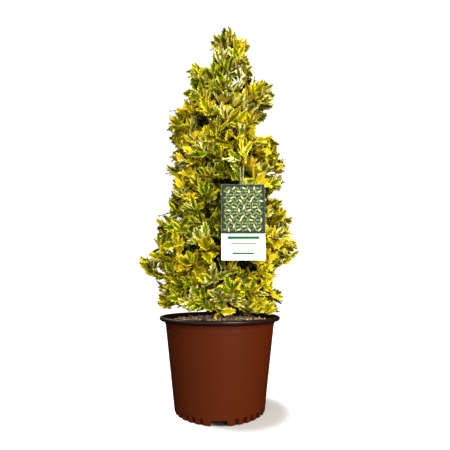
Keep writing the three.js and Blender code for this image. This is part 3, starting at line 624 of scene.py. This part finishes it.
def leaf_variant(rng):
    """One leaf along +Y, its upper face to +Z, with its margin, middle and core strips."""
    edge = LEAF_WIDTHS * (1 + EDGE_JITTER * rng.standard_normal(len(LEAF_WIDTHS)))
    edge = edge * rng.uniform(*LEAF_SLENDERNESS)
    halves = rng.uniform(*GREEN_SHARE, (2, 1))
    margin = np.clip(halves + GREEN_JITTER * rng.standard_normal((2, len(edge))), *GREEN_LIMITS)
    core = margin * np.clip(CORE_SHARE + CORE_JITTER * rng.standard_normal((2, len(edge))), *CORE_LIMITS)
    columns = np.stack([-np.ones(len(edge)), -margin[0], -core[0], np.zeros(len(edge)),
                        core[1], margin[1], np.ones(len(edge))], axis=1)
    x = columns * edge[:, None] * LEAF_HALF_WIDTH
    along = np.repeat(LEAF_STATIONS[:, None], columns.shape[1], axis=1)
    spread = np.abs(columns)
    wave = np.zeros(len(edge))
    for order, station in enumerate(SPINE_STATIONS):
        along[station] += SPINE_REACH * spread[station] ** 2
        wave[station] = SPINE_LIFT[(order + rng.integers(2)) % 2]
    fold = rng.uniform(*LEAF_FOLD)
    curl = rng.uniform(*LEAF_CURL)
    z = fold * np.abs(x) + wave[:, None] * spread ** 2 - curl * along ** 2
    points = np.stack([x, along * LEAF_LENGTH, z], axis=-1).reshape(-1, 3)
    quads = grid_quads(len(edge), columns.shape[1])
    strips = np.tile([0, 1, 2, 2, 1, 0], len(edge) - 1)
    return points, quads, strips


def shell_depth(point):
    """How far a point lies under the crown's surface, measured level."""
    away = (point - trunk_axis(point[2]))[:2]
    return float(crown_reach(point[2], math.atan2(away[1], away[0]))) - np.linalg.norm(away)


def deal_palette(depth, greenness, rng):
    """Bright sprays outside, green ones under them and dark ones inside, the darker ones deeper in as
    painted shade.
    """
    if depth < OUTSIDE_DEPTH:
        chances = DEALT_GREENER if rng.random() < greenness else DEALT_OUTSIDE
    elif depth < BETWEEN_DEPTH:
        chances = DEALT_BETWEEN
    else:
        chances = DEALT_INSIDE
    return rng.choice(len(LEAF_PALETTES), p=chances)


def greenness_of(mass, end):
    """The chance of green sprays, higher at the places that are greener in the front view."""
    for x, height, radius in GREENER_PLACES:
        if end[1] < GREENER_DEPTH and math.hypot(end[0] - x, end[2] - height) < radius:
            return GREENER_CHANCE
    return mass["greenness"]


def step_behind_tag(points):
    """Points in front of the tag or just beside it, moved back to a little behind its plane."""
    x, y, z = np.moveaxis(points, -1, 0)
    near = (x > TAG_LEFT - TAG_SURROUND) & (x < TAG_RIGHT + TAG_SURROUND)
    near &= (z > TAG_LOW - TAG_SURROUND) & (z < TAG_TOP + TAG_SURROUND)
    moved = points.copy()
    moved[near, 1] = np.maximum(y[near], TAG_FRONT + BEHIND_TAG)
    return moved


def fan_ends(mass):
    """Where the shoots of the fans at the crown's edge end, for the fans that fall to this mass."""
    ends = []
    for x, height in EDGE_FANS:
        away = x - trunk_axis(height)[0]
        rise = np.interp(height, TOP_HEIGHTS, SHOOT_RISES)
        direction = unit(np.array([away / max(UPRIGHT_WITHIN, abs(away)), 0, rise]))
        end = np.array([x, 0, height]) - FAN_REACH * direction
        if in_own_cell(end, mass, 0.0):
            ends.append(end)
    return ends


def shoot_points(mass, fans, rng):
    """Where the mass's shoots end: its heart, its fans, then points set apart, most in the outer shell."""
    tries = np.arange(SHOOT_TRIES) / SHOOT_TRIES
    shells = [tries < limit for limit in SHELL_SHARES]
    inner = np.select(shells, SHELL_STARTS)
    outer = np.select(shells, SHELL_ENDS)
    spacing = np.select(shells, SHOOT_SPACINGS)
    spacing = spacing * np.interp(mass["heart"][2], TOP_HEIGHTS, TOP_SPACING_GAIN)
    azimuth = mass["azimuth"] + (rng.random(SHOOT_TRIES) - 0.5) * mass["fan"]
    height = mass["heart"][2] + (rng.random(SHOOT_TRIES) - 0.5) * SHOOT_BAND
    share = inner + (outer - inner) * np.sqrt(rng.random(SHOOT_TRIES))
    allowance = np.interp(height, TOP_HEIGHTS, TIP_ALLOWANCES)
    reach = np.maximum(NARROWEST_REACH, crown_reach(height, azimuth) - allowance) * share
    points = trunk_axis(height) + outward(azimuth) * reach[:, None]
    points = step_behind_tag(points)
    fits = in_crown(points, SHOOT_INSET) & clear_of_tag(points) & in_own_cell(points, mass, 1.0)
    chosen = [mass["heart"], *fans]
    for point, gap in zip(points[fits], spacing[fits]):
        if np.min(np.linalg.norm(np.array(chosen) - point, axis=1)) > gap:
            chosen.append(point)
    return chosen


def grow_mass(mass, rng, twigs, leaves, variants):
    """Twigs from the mass's stem to each shoot's end, later ones from earlier ones, and their leaves."""
    foot = mass["foot"]
    lead = foot + STEM_LEAD * np.linalg.norm(mass["heart"] - foot) * mass["along"]
    steps = np.linspace(0, 1, STEM_RINGS)
    stem = (foot, lead, mass["heart"])
    radii = np.linspace(BOUGH_TIP_RADIUS, TWIG_ROOT_RADIUS, STEM_RINGS)
    twigs.add(*tube(bezier(*stem, steps), radii, STEM_SIDES))
    radii = np.linspace(TWIG_ROOT_RADIUS, TWIG_TIP_RADIUS, TWIG_RINGS)
    starts = bezier(*stem, steps[1:])
    tangents = bezier_tangent(*stem, steps[1:])
    fans = fan_ends(mass)
    points = shoot_points(mass, fans, rng)
    grow_leaves(mass, points[0], tangents[-1], tangents[-1], 0, leaves, variants, rng)
    for order in np.argsort([np.linalg.norm(point - foot) for point in points[1:]]) + 1:
        end = points[order]
        reach = end - starts
        lengths = np.linalg.norm(reach, axis=1) + NEVER_ZERO
        forward = np.sum(reach * tangents, axis=1) / lengths
        best = np.argmin(lengths * (TWIG_TURN_COST - forward))
        bend = starts[best] + tangents[best] * TWIG_LEAD * lengths[best] + rng.normal(0, TWIG_WANDER, 3)
        curve = (starts[best], bend, end)
        path = bezier(*curve, np.linspace(0, 1, TWIG_RINGS))
        tangent = bezier_tangent(*curve, 1.0)
        last_stretch = unit(path[-1] - path[-2])
        overrun = FAN_OVERRUN if order <= len(fans) else 0
        if grow_leaves(mass, end, tangent, last_stretch, overrun, leaves, variants, rng):
            twigs.add(*tube(path, radii, TWIG_SIDES))
            starts = np.concatenate([starts, bezier(*curve, TWIG_FORKS)])
            tangents = np.concatenate([tangents, bezier_tangent(*curve, TWIG_FORKS)])


def leaf_frames(end, tangent, last_stretch, rng):
    """Places and turns of a shoot's leaves: small upright ones at its end, wider ones below."""
    axis = trunk_axis(end[2])
    away = (end - axis) * [1, 1, 0]
    away = away / max(UPRIGHT_WITHIN, np.linalg.norm(away))
    shoot = unit(SHOOT_FORWARD * tangent + away + [0, 0, np.interp(end[2], TOP_HEIGHTS, SHOOT_RISES)])
    first = unit(np.cross(shoot, TURN_START))
    second = np.cross(shoot, first)
    order = np.arange(LEAVES_PER_SHOOT)
    age = order / (LEAVES_PER_SHOOT - 1)
    turn = rng.uniform(0, 2 * math.pi) + order * GOLDEN_ANGLE + rng.normal(0, TURN_JITTER, LEAVES_PER_SHOOT)
    spread = SPREAD_AT_END + age ** SPREAD_POWER + rng.normal(0, SPREAD_JITTER, LEAVES_PER_SHOOT)
    size = (SIZE_AT_END + SIZE_GAIN * np.sqrt(age)) * rng.uniform(*SIZE_RANGE, LEAVES_PER_SHOOT)
    ray = np.cos(turn)[:, None] * first + np.sin(turn)[:, None] * second
    along = np.cos(spread)[:, None] * shoot + np.sin(spread)[:, None] * ray
    side = unit(np.cross(along, shoot))
    face = np.cross(side, along)
    roll = rng.normal(0, ROLL_JITTER, LEAVES_PER_SHOOT)[:, None]
    side, face = np.cos(roll) * side + np.sin(roll) * face, np.cos(roll) * face - np.sin(roll) * side
    roots = end - last_stretch * (LEAF_STRETCH * age)[:, None]
    return roots, side, along, face, size


def grow_leaves(mass, end, tangent, last_stretch, extra, leaves, variants, rng):
    """Adds a shoot's leaves that fit the crown; tells whether there were enough of them."""
    depth = shell_depth(end)
    greenness = greenness_of(mass, end)
    spray = deal_palette(depth, greenness, rng)
    roots, sides, alongs, faces, sizes = leaf_frames(end, tangent, last_stretch, rng)
    tips = roots + alongs * (LEAF_LENGTH * sizes)[:, None]
    middles = (roots + tips) / 2
    overrun = np.interp(tips[:, 2], TOP_HEIGHTS, (TIP_OVERRUN, TOP_OVERRUN)) + extra
    drop = rng.uniform(*EDGE_DROP)
    fits = in_crown(tips, -overrun, drop) & in_crown(middles, -TIP_OVERRUN - extra, drop)
    outline_overrun = extra or rng.uniform(*OUTLINE_OVERRUN)
    fits &= in_outline(tips, -outline_overrun) & in_outline(middles, -extra)
    fits &= in_outline((tips + middles) / 2, -outline_overrun) & in_outline((roots + middles) / 2, -extra)
    fits &= in_own_cell(tips, mass, -CELL_OVERLAP)
    for place in (tips, middles, (middles + tips) / 2):
        for across in (-LEAF_HALF_WIDTH, 0, LEAF_HALF_WIDTH):
            fits &= clear_of_tag(place + sides * across)
    trunk_gap = np.linalg.norm(middles - trunk_axis(middles[:, 2]), axis=1)
    fits &= (trunk_gap > TRUNK_CLEARANCE) | (middles[:, 2] > TRUNK_TIP[2])
    if fits.sum() < FEWEST_LEAVES:
        return False
    for leaf in np.flatnonzero(fits):
        points, quads, strips = variants[rng.integers(LEAF_VARIANTS)]
        placed = points @ np.stack([-sides[leaf], alongs[leaf], faces[leaf]]) * sizes[leaf] + roots[leaf]
        palette = spray if rng.random() < OWN_PALETTE_CHANCE else deal_palette(depth, greenness, rng)
        leaves.add(placed, quads, strips + PALETTE_STRIPS * palette)
    return True


def build_foliage(twig_finish):
    leaf_finishes = []
    for name, gloss, colors in LEAF_PALETTES:
        for part, color in zip(("margin", "middle", "core"), colors):
            leaf_finishes.append(surface(f"leaf_{name}_{part}", color=color, gloss=gloss, **LEAF_FINISH))
    rng = np.random.default_rng(FOLIAGE_SEED)
    variants = [leaf_variant(rng) for _ in range(LEAF_VARIANTS)]
    group_size = math.ceil(len(masses) / LEAF_PIECES)
    twigs = Sheaf()
    for group in range(LEAF_PIECES):
        leaves = Sheaf()
        members = masses[group * group_size:(group + 1) * group_size]
        for mass in members:
            # Masses near the middle get greener sprays, as painted shade
            in_middle = abs(mass["heart"][0]) < MIDDLE_HALF
            mass["greenness"] = rng.uniform(*GREENNESS) + GREENER_MIDDLE * in_middle
            grow_mass(mass, rng, twigs, leaves, variants)
        replaced = [f"mass_{mass['name']}" for mass in members]
        leaves.build(f"leaves_{group + 1}", leaf_finishes, replaced)
    twigs.build("twigs", [twig_finish])


# Trunk and boughs

def build_limbs(bark):
    rng = np.random.default_rng(LIMB_SEED)
    limbs = Sheaf()
    shares = np.linspace(0, 1, TRUNK_RINGS) ** RING_CROWDING
    heights = TRUNK_FOOT[2] + (TRUNK_TIP[2] - TRUNK_FOOT[2]) * shares
    limbs.add(*tube(trunk_axis(heights), trunk_radius(heights), TRUNK_SIDES, TRUNK_RELIEF, rng))
    for bough in boughs:
        t = np.linspace(0, 1, BOUGH_RINGS)
        root_radius = max(BOUGH_TIP_RADIUS, trunk_radius(bough["root_height"]) * BOUGH_TO_TRUNK)
        radii = root_radius + (BOUGH_TIP_RADIUS - root_radius) * t ** BOUGH_TAPER
        path = bezier(bough["root"], bough["bend"], bough["foot"], t)
        limbs.add(*tube(path, radii, BOUGH_SIDES, BOUGH_RELIEF, rng))
    replaced = ["trunk"] + [f"bough_{bough['name']}" for bough in boughs]
    limbs.build("limbs", [bark], replaced)


# Pot

def wall_radius(height):
    return FOOT_RADIUS + WALL_SLOPE * height


def turned(profile, segments=POT_SEGMENTS // 2):
    """A closed surface of revolution from rows of radius and height."""
    profile = np.array(profile, dtype=float)
    angles = np.arange(segments) * 2 * math.pi / segments
    rings = np.stack([profile[:, None, 0] * np.cos(angles), profile[:, None, 0] * np.sin(angles),
                      np.repeat(profile[:, None, 1], segments, axis=1)], axis=-1)
    return rings.reshape(-1, 3), grid_quads(len(profile), segments, closed=True)


def across_wall(first, second, shift):
    """Quads from points of the outer shell to those of the inner one, which are stored a shift later."""
    return np.stack([first, second, second + shift, first + shift], axis=1)


def add_skirt(pot):
    """The foot's ring wall: arched flutes sunk into it, their faces darker as painted shade, and four drain
    openings cut through it.
    """
    heights = np.linspace(0, SKIRT_HEIGHT, SKIRT_ROWS)
    angles = np.arange(POT_SEGMENTS) * 2 * math.pi / POT_SEGMENTS
    height, angle = np.meshgrid(heights, angles, indexing="ij")
    quarter = (angle + math.pi / 4) % (math.pi / 2) - math.pi / 4
    pitch = math.radians(FLUTE_PITCH_DEG)
    nearest = np.round(quarter / pitch) * pitch
    across = np.abs(quarter - nearest) * FOOT_RADIUS
    arch_foot = FLUTE_HEIGHT - FLUTE_HALF_WIDTH
    over = np.maximum(0, height - arch_foot)
    inside = np.hypot(across, over) < FLUTE_HALF_WIDTH
    fluted = inside & (np.abs(nearest) > (FIRST_FLUTE - 0.5) * pitch)
    outer_radius = wall_radius(height) - FLUTE_DEPTH * fluted
    inner_radius = np.full_like(outer_radius, CHANNEL_OUTER)
    half_opening = (DRAIN_FOOT_WIDTH + (DRAIN_TOP_WIDTH - DRAIN_FOOT_WIDTH) * height / DRAIN_HEIGHT) / 2
    open_here = (np.abs(quarter) * FOOT_RADIUS < half_opening) & (height < DRAIN_HEIGHT)
    shells = [np.stack([radius * np.cos(angle), radius * np.sin(angle), height], axis=-1).reshape(-1, 3)
              for radius in (outer_radius, inner_radius)]
    quads = grid_quads(len(heights), POT_SEGMENTS, closed=True)
    solid = ~open_here[:-1].ravel()
    points = np.concatenate(shells)
    shift = len(shells[0])
    # Fluted faces take the second finish: painted shade in the recesses
    shaded_flute_faces = fluted[:-1].ravel()[solid]
    pot.add(points, quads[solid], shaded_flute_faces.astype(int))
    pot.add(points, quads[solid][:, ::-1] + shift)
    wall = (~open_here[:-1]).reshape(len(heights) - 1, POT_SEGMENTS)
    cells = quads.reshape(len(heights) - 1, POT_SEGMENTS, 4)
    jambs = []
    left_edge = wall & ~np.roll(wall, 1, axis=1)
    right_edge = wall & ~np.roll(wall, -1, axis=1)
    for edge, (low, high) in ((left_edge, (0, 3)), (right_edge, (2, 1))):
        faces = cells[edge]
        jambs.append(across_wall(faces[:, low], faces[:, high], shift))
    below = wall & ~np.concatenate([np.zeros((1, POT_SEGMENTS), bool), wall[:-1]])
    faces = cells[below]
    jambs.append(across_wall(faces[:, 1], faces[:, 0], shift))
    pot.add(points, np.concatenate(jambs))


def build_pot_body(finish, flute_shade_finish):
    """The wall from the skirt to the collar, the skirt, and the channel and disc under the base."""
    groove = [(wall_radius(GROOVE_HEIGHT + off) - depth, GROOVE_HEIGHT + off)
              for off, depth in ((-GROOVE_HALF_WIDTH, 0), (-GROOVE_FLOOR_HALF_WIDTH, GROOVE_DEPTH),
                                 (GROOVE_FLOOR_HALF_WIDTH, GROOVE_DEPTH), (GROOVE_HALF_WIDTH, 0))]
    body = [(wall_radius(SKIRT_HEIGHT), SKIRT_HEIGHT)]
    body += [(wall_radius(height), height) for height in WALL_ROW_HEIGHTS]
    body += groove
    body += [(wall_radius(COLLAR_HEIGHT), COLLAR_HEIGHT),
             (wall_radius(COLLAR_HEIGHT) + COLLAR_STEP, COLLAR_HEIGHT + COLLAR_LEDGE),
             (wall_radius(COLLAR_TOP) + COLLAR_STEP, COLLAR_TOP)]
    pot = Sheaf()
    pot.add(*turned(body))
    add_skirt(pot)
    pot.add(*turned([(CHANNEL_OUTER, SKIRT_HEIGHT), (CHANNEL_OUTER, CHANNEL_HEIGHT),
                     (CHANNEL_INNER, CHANNEL_HEIGHT), (BASE_DISC_RADIUS, 0), (NEARLY_NOTHING, 0)],
                    CHANNEL_SEGMENTS))
    pot.build("pot_body", [finish, flute_shade_finish], ["pot"], sharp_deg=35)


def build_pot_rim(finish):
    """The rolled bead over the collar and the wall's inner face down into the mulch, in a darker finish as
    painted shade.
    """
    centre_radius = RIM_RADIUS - BEAD_RADIUS
    centre_height = RIM_TOP - BEAD_RADIUS
    bead = [(wall_radius(COLLAR_TOP) + COLLAR_STEP - BEAD_SINK, COLLAR_TOP - BEAD_LAP)]
    for degrees in range(*BEAD_ARC_DEG, BEAD_STEP_DEG):
        angle = math.radians(degrees)
        radius = centre_radius + BEAD_RADIUS * math.cos(angle)
        bead.append((radius, centre_height + BEAD_RADIUS * math.sin(angle)))
    bead += [(wall_radius(height) - WALL_THICKNESS, height) for height in (INNER_WALL_TOP, INNER_WALL_FOOT)]
    rim = Sheaf()
    rim.add(*turned(bead))
    rim.build("pot_rim", [finish], sharp_deg=40)


# Mulch

def mulch_height(radius):
    return np.interp(radius, MULCH_RADII, MULCH_HEIGHTS)


def rotation(angle, first, second):
    """A matrix that turns rows of points from one axis toward another."""
    matrix = np.eye(3)
    matrix[[first, second], [first, second]] = math.cos(angle)
    matrix[first, second] = math.sin(angle)
    matrix[second, first] = -math.sin(angle)
    return matrix


def build_mulch_ground(finish, rng):
    radii = np.linspace(SOIL_RADIUS, GROUND_MIDDLE, GROUND_RINGS)
    profile = [(radius, mulch_height(radius) - GROUND_UNDER_CHIPS) for radius in radii]
    points, quads = turned(profile, GROUND_SEGMENTS)
    points[GROUND_SEGMENTS:, 2] += rng.normal(0, GROUND_JITTER, len(points) - GROUND_SEGMENTS)
    ground = Sheaf()
    ground.add(points, quads)
    ground.build("mulch_ground", [finish], ["soil"])


def build_mulch_chips(chip_finishes, rng):
    """Bark chips as rough blocks, tipped and turned by chance."""
    chips = Sheaf()
    corners = np.array([[x, y, z] for z in (-1, 1) for y in (-1, 1) for x in (-1, 1)], dtype=float)
    faces = np.array([[0, 2, 3, 1], [4, 5, 7, 6], [0, 1, 5, 4], [2, 6, 7, 3], [0, 4, 6, 2], [1, 3, 7, 5]])
    for _ in range(CHIP_COUNT):
        radius = (SOIL_RADIUS - CHIP_WALL_GAP) * math.sqrt(rng.random())
        bearing = rng.uniform(0, 2 * math.pi)
        if radius < CHIP_TRUNK_GAP:
            continue
        size = np.array([rng.uniform(*span) for span in CHIP_SIZES])
        shape = corners * size / 2 * (1 + CHIP_JITTER * rng.standard_normal(corners.shape))
        turn = rng.uniform(0, 2 * math.pi)
        tilt = rng.normal(0, CHIP_TILT)
        height = mulch_height(radius) - rng.uniform(*CHIP_SINK)
        place = [radius * math.cos(bearing), radius * math.sin(bearing), height]
        chip = shape @ rotation(tilt, 0, 2) @ rotation(turn, 0, 1) + place
        chips.add(chip, faces, rng.integers(len(chip_finishes)))
    chips.build("mulch_chips", chip_finishes, sharp_deg=30)


# Hang tag

def plate(outline, front, depth):
    """A flat plate facing -Y from an outline of x and z, as rings that shrink to its middle."""
    outline = np.array(outline, dtype=float)
    centre = outline.mean(axis=0)
    rings = []
    back = front + depth
    for share, y in ((PLATE_MIDDLE, back), (1.0, back), (1.0, front), (PLATE_MIDDLE, front)):
        flat = centre + (outline - centre) * share
        rings.append(np.stack([flat[:, 0], np.full(len(flat), y), flat[:, 1]], axis=1))
    return np.concatenate(rings), grid_quads(len(rings), len(outline), closed=True)


def rounded_box(left, right, low, high, corner):
    outline = []
    for cx, cz, start in ((right - corner, high - corner, 0), (left + corner, high - corner, 90),
                          (left + corner, low + corner, 180), (right - corner, low + corner, 270)):
        for step in range(CORNER_STEPS + 1):
            angle = math.radians(start + 90 * step / CORNER_STEPS)
            outline.append((cx + corner * math.cos(angle), cz + corner * math.sin(angle)))
    return outline


def motif(x, z, turn):
    """A plain pointed leaf shape for the tag's pattern."""
    outline = []
    for step in range(MOTIF_POINTS):
        angle = 2 * math.pi * step / MOTIF_POINTS
        long = math.cos(angle) * MOTIF_HALF_LENGTH
        wide = math.sin(angle) * MOTIF_HALF_LENGTH * MOTIF_SLENDERNESS * MOTIF_WAVE[step % 2]
        outline.append((x + long * math.cos(turn) - wide * math.sin(turn),
                        z + long * math.sin(turn) + wide * math.cos(turn)))
    return outline


def build_tag_card(finish):
    outline = rounded_box(TAG_LEFT, TAG_RIGHT, TAG_LOW, TAG_TOP, TAG_CORNER)
    card = Sheaf()
    card.add(*plate(outline, TAG_FACE, TAG_THICKNESS))
    card.build("tag_card", [finish], ["hang_tag"], sharp_deg=30)


def build_tag_print(field_finish, motif_finishes, rule_finish):
    """Thin plates in front of the card: the field, its motifs and the panel's rules."""
    print_layer = Sheaf()
    field = rounded_box(TAG_LEFT + FIELD_INSET, TAG_RIGHT - FIELD_INSET, PANEL_TOP,
                        TAG_TOP - FIELD_INSET, TAG_CORNER)
    print_layer.add(*plate(field, TAG_FACE - PRINT_LIFT, PRINT_THICKNESS), 0)
    pattern_width = TAG_WIDTH - 2 * MOTIF_SIDE_MARGIN
    pattern_height = TAG_TOP - PANEL_TOP - 2 * MOTIF_END_MARGIN
    for row in range(MOTIF_ROWS):
        for column in range(MOTIF_COLUMNS):
            step = column + 0.25 + 0.5 * (row % 2)
            x = TAG_LEFT + MOTIF_SIDE_MARGIN + pattern_width * step / MOTIF_COLUMNS
            z = PANEL_TOP + MOTIF_END_MARGIN + pattern_height * (row + 0.5) / MOTIF_ROWS
            turn = GOLDEN_ANGLE * (row * MOTIF_COLUMNS + 2 * column)
            finish = 1 + (row * column + column) % len(motif_finishes)
            print_layer.add(*plate(motif(x, z, turn), TAG_FACE - 2 * PRINT_LIFT, PRINT_THICKNESS), finish)
    for inset, rise, height, finish in TAG_RULES:
        foot = TAG_LOW + rise
        rule = rounded_box(TAG_LEFT + inset, TAG_RIGHT - inset, foot, foot + height, RULE_CORNER)
        print_layer.add(*plate(rule, TAG_FACE - PRINT_LIFT, PRINT_THICKNESS), finish)
    print_layer.build("tag_print", [field_finish, *motif_finishes, rule_finish], sharp_deg=30)


def build_tag_loop(finish):
    """A thin strand from the card's top, up and over its bough."""
    half = LOOP_WIDTH / 2 + LOOP_STRAND_RADIUS
    top = LOOP_PEG[2] + BOUGH_TIP_RADIUS + LOOP_STRAND_RADIUS + LOOP_CLEARANCE
    foot = TAG_TOP - LOOP_TUCK
    arc = [(LOOP_MIDDLE + half * math.cos(a), TAG_FRONT, top - half + half * math.sin(a))
           for a in np.linspace(0, math.pi, LOOP_RINGS)]
    path = [(LOOP_MIDDLE + half, TAG_FRONT, foot), *arc, (LOOP_MIDDLE - half, TAG_FRONT, foot)]
    strand = Sheaf()
    strand.add(*tube(np.array(path), np.full(len(path), LOOP_STRAND_RADIUS), LOOP_SIDES))
    strand.build("tag_loop", [finish])


# Studio

def distance_from(centre, nodes, links):
    """The distance of the floor's points from a centre, as a node's output."""
    shift = nodes.new("ShaderNodeVectorMath")
    shift.operation = "SUBTRACT"
    shift.inputs[1].default_value = centre
    links.new(nodes["Texture Coordinate"].outputs["Object"], shift.inputs[0])
    length = nodes.new("ShaderNodeVectorMath")
    length.operation = "LENGTH"
    links.new(shift.outputs["Vector"], length.inputs[0])
    return length.outputs["Value"]


def light_floor(material):
    """Gives the pale floor a painted shade under the pot and a glow that fades out in the pot's shadow."""
    nodes = material.node_tree.nodes
    links = material.node_tree.links
    shader = nodes["Principled BSDF"].inputs
    shader["Emission Color"].default_value = (1, 1, 1, 1)
    fade = nodes.new("ShaderNodeMapRange")
    fade.interpolation_type = "SMOOTHSTEP"
    fade.inputs["From Min"].default_value = GLOW_START
    fade.inputs["From Max"].default_value = GLOW_FULL
    fade.inputs["To Max"].default_value = FLOOR_GLOW
    links.new(distance_from(GLOW_CENTRE, nodes, links), fade.inputs["Value"])
    links.new(fade.outputs["Result"], shader["Emission Strength"])
    # Painted shade: the floor's colour turns dark under the pot
    shade = nodes.new("ShaderNodeMapRange")
    shade.inputs["From Min"].default_value = PAINTED_SHADE_EDGE[0]
    shade.inputs["From Max"].default_value = PAINTED_SHADE_EDGE[1]
    links.new(distance_from((0, 0, 0), nodes, links), shade.inputs["Value"])
    tone = nodes.new("ShaderNodeMix")
    tone.data_type = "RGBA"
    tone.inputs["A"].default_value = linear(*UNDER_POT_PAINTED_SHADE)
    tone.inputs["B"].default_value = linear(*FLOOR_TONE)
    links.new(shade.outputs["Result"], tone.inputs["Factor"])
    links.new(tone.outputs["Result"], shader["Base Color"])


def build_floor(material):
    light_floor(material)
    profile = [(FLOOR_MIDDLE, 0)]
    for angle in np.linspace(0, math.pi / 2, COVE_RINGS):
        radius = FLOOR_RADIUS + COVE_RADIUS * math.sin(angle)
        profile.append((radius, COVE_RADIUS - COVE_RADIUS * math.cos(angle)))
    profile.append((FLOOR_RADIUS + COVE_RADIUS, BACKDROP_HEIGHT))
    points, quads = turned(profile, FLOOR_SEGMENTS)
    mesh = bpy.data.meshes.new("studio_floor")
    mesh.from_pydata(points.tolist(), [], quads.tolist())
    mesh.materials.append(material)
    mesh.shade_smooth()
    floor = bpy.data.objects.new("studio_floor", mesh)
    bpy.context.scene.collection.objects.link(floor)
    floor.visible_diffuse = False
    floor.visible_glossy = False


def build_light():
    """Soft lamps and an even white world, which the gloss doesn't show."""
    for name, place, size, power, turn, color in LAMPS:
        data = bpy.data.lights.new(name, "AREA")
        data.color = color
        data.size = size
        data.energy = power
        lamp = bpy.data.objects.new(name, data)
        lamp.location = place
        lamp.rotation_euler = [math.radians(angle) for angle in turn]
        bpy.context.scene.collection.objects.link(lamp)
    world = bpy.data.worlds.new("studio")
    world.use_nodes = True
    background = world.node_tree.nodes["Background"].inputs
    background["Color"].default_value = (1, 1, 1, 1)
    background["Strength"].default_value = WORLD_STRENGTH
    world.cycles_visibility.glossy = False
    bpy.context.scene.world = world


def build_camera():
    data = bpy.data.cameras.new("camera")
    data.lens = CAMERA_LENS
    data.shift_y = CAMERA_SHIFT_Y
    data.clip_start = CAMERA_CLIP
    camera = bpy.data.objects.new("camera", data)
    camera.location = CAMERA_PLACE
    camera.rotation_euler = (math.radians(90 + CAMERA_PITCH_DEG), 0, 0)
    bpy.context.scene.collection.objects.link(camera)
    bpy.context.scene.camera = camera
    bpy.context.scene.view_settings.view_transform = "Standard"


finishes = {name: surface(name, **look) for name, look in FINISHES.items()}
build_foliage(finishes["twig_bark"])
build_limbs(finishes["bark"])
build_pot_body(finishes["pot_plastic"], finishes["pot_flute_painted_shade"])
build_pot_rim(finishes["pot_rim_plastic_painted_shade"])
mulch_rng = np.random.default_rng(MULCH_SEED)
build_mulch_ground(finishes["mulch_ground"], mulch_rng)
build_mulch_chips([finishes[f"mulch_chip_{tone}"] for tone in ("pale", "brown", "dark")], mulch_rng)
build_tag_card(finishes["tag_card"])
motif_finishes = [finishes[f"tag_motif_{tone}"] for tone in ("green", "cream", "sage")]
build_tag_print(finishes["tag_field"], motif_finishes, finishes["tag_rule"])
build_tag_loop(finishes["tag_strand"])
build_floor(finishes["studio_floor"])
build_light()
build_camera()
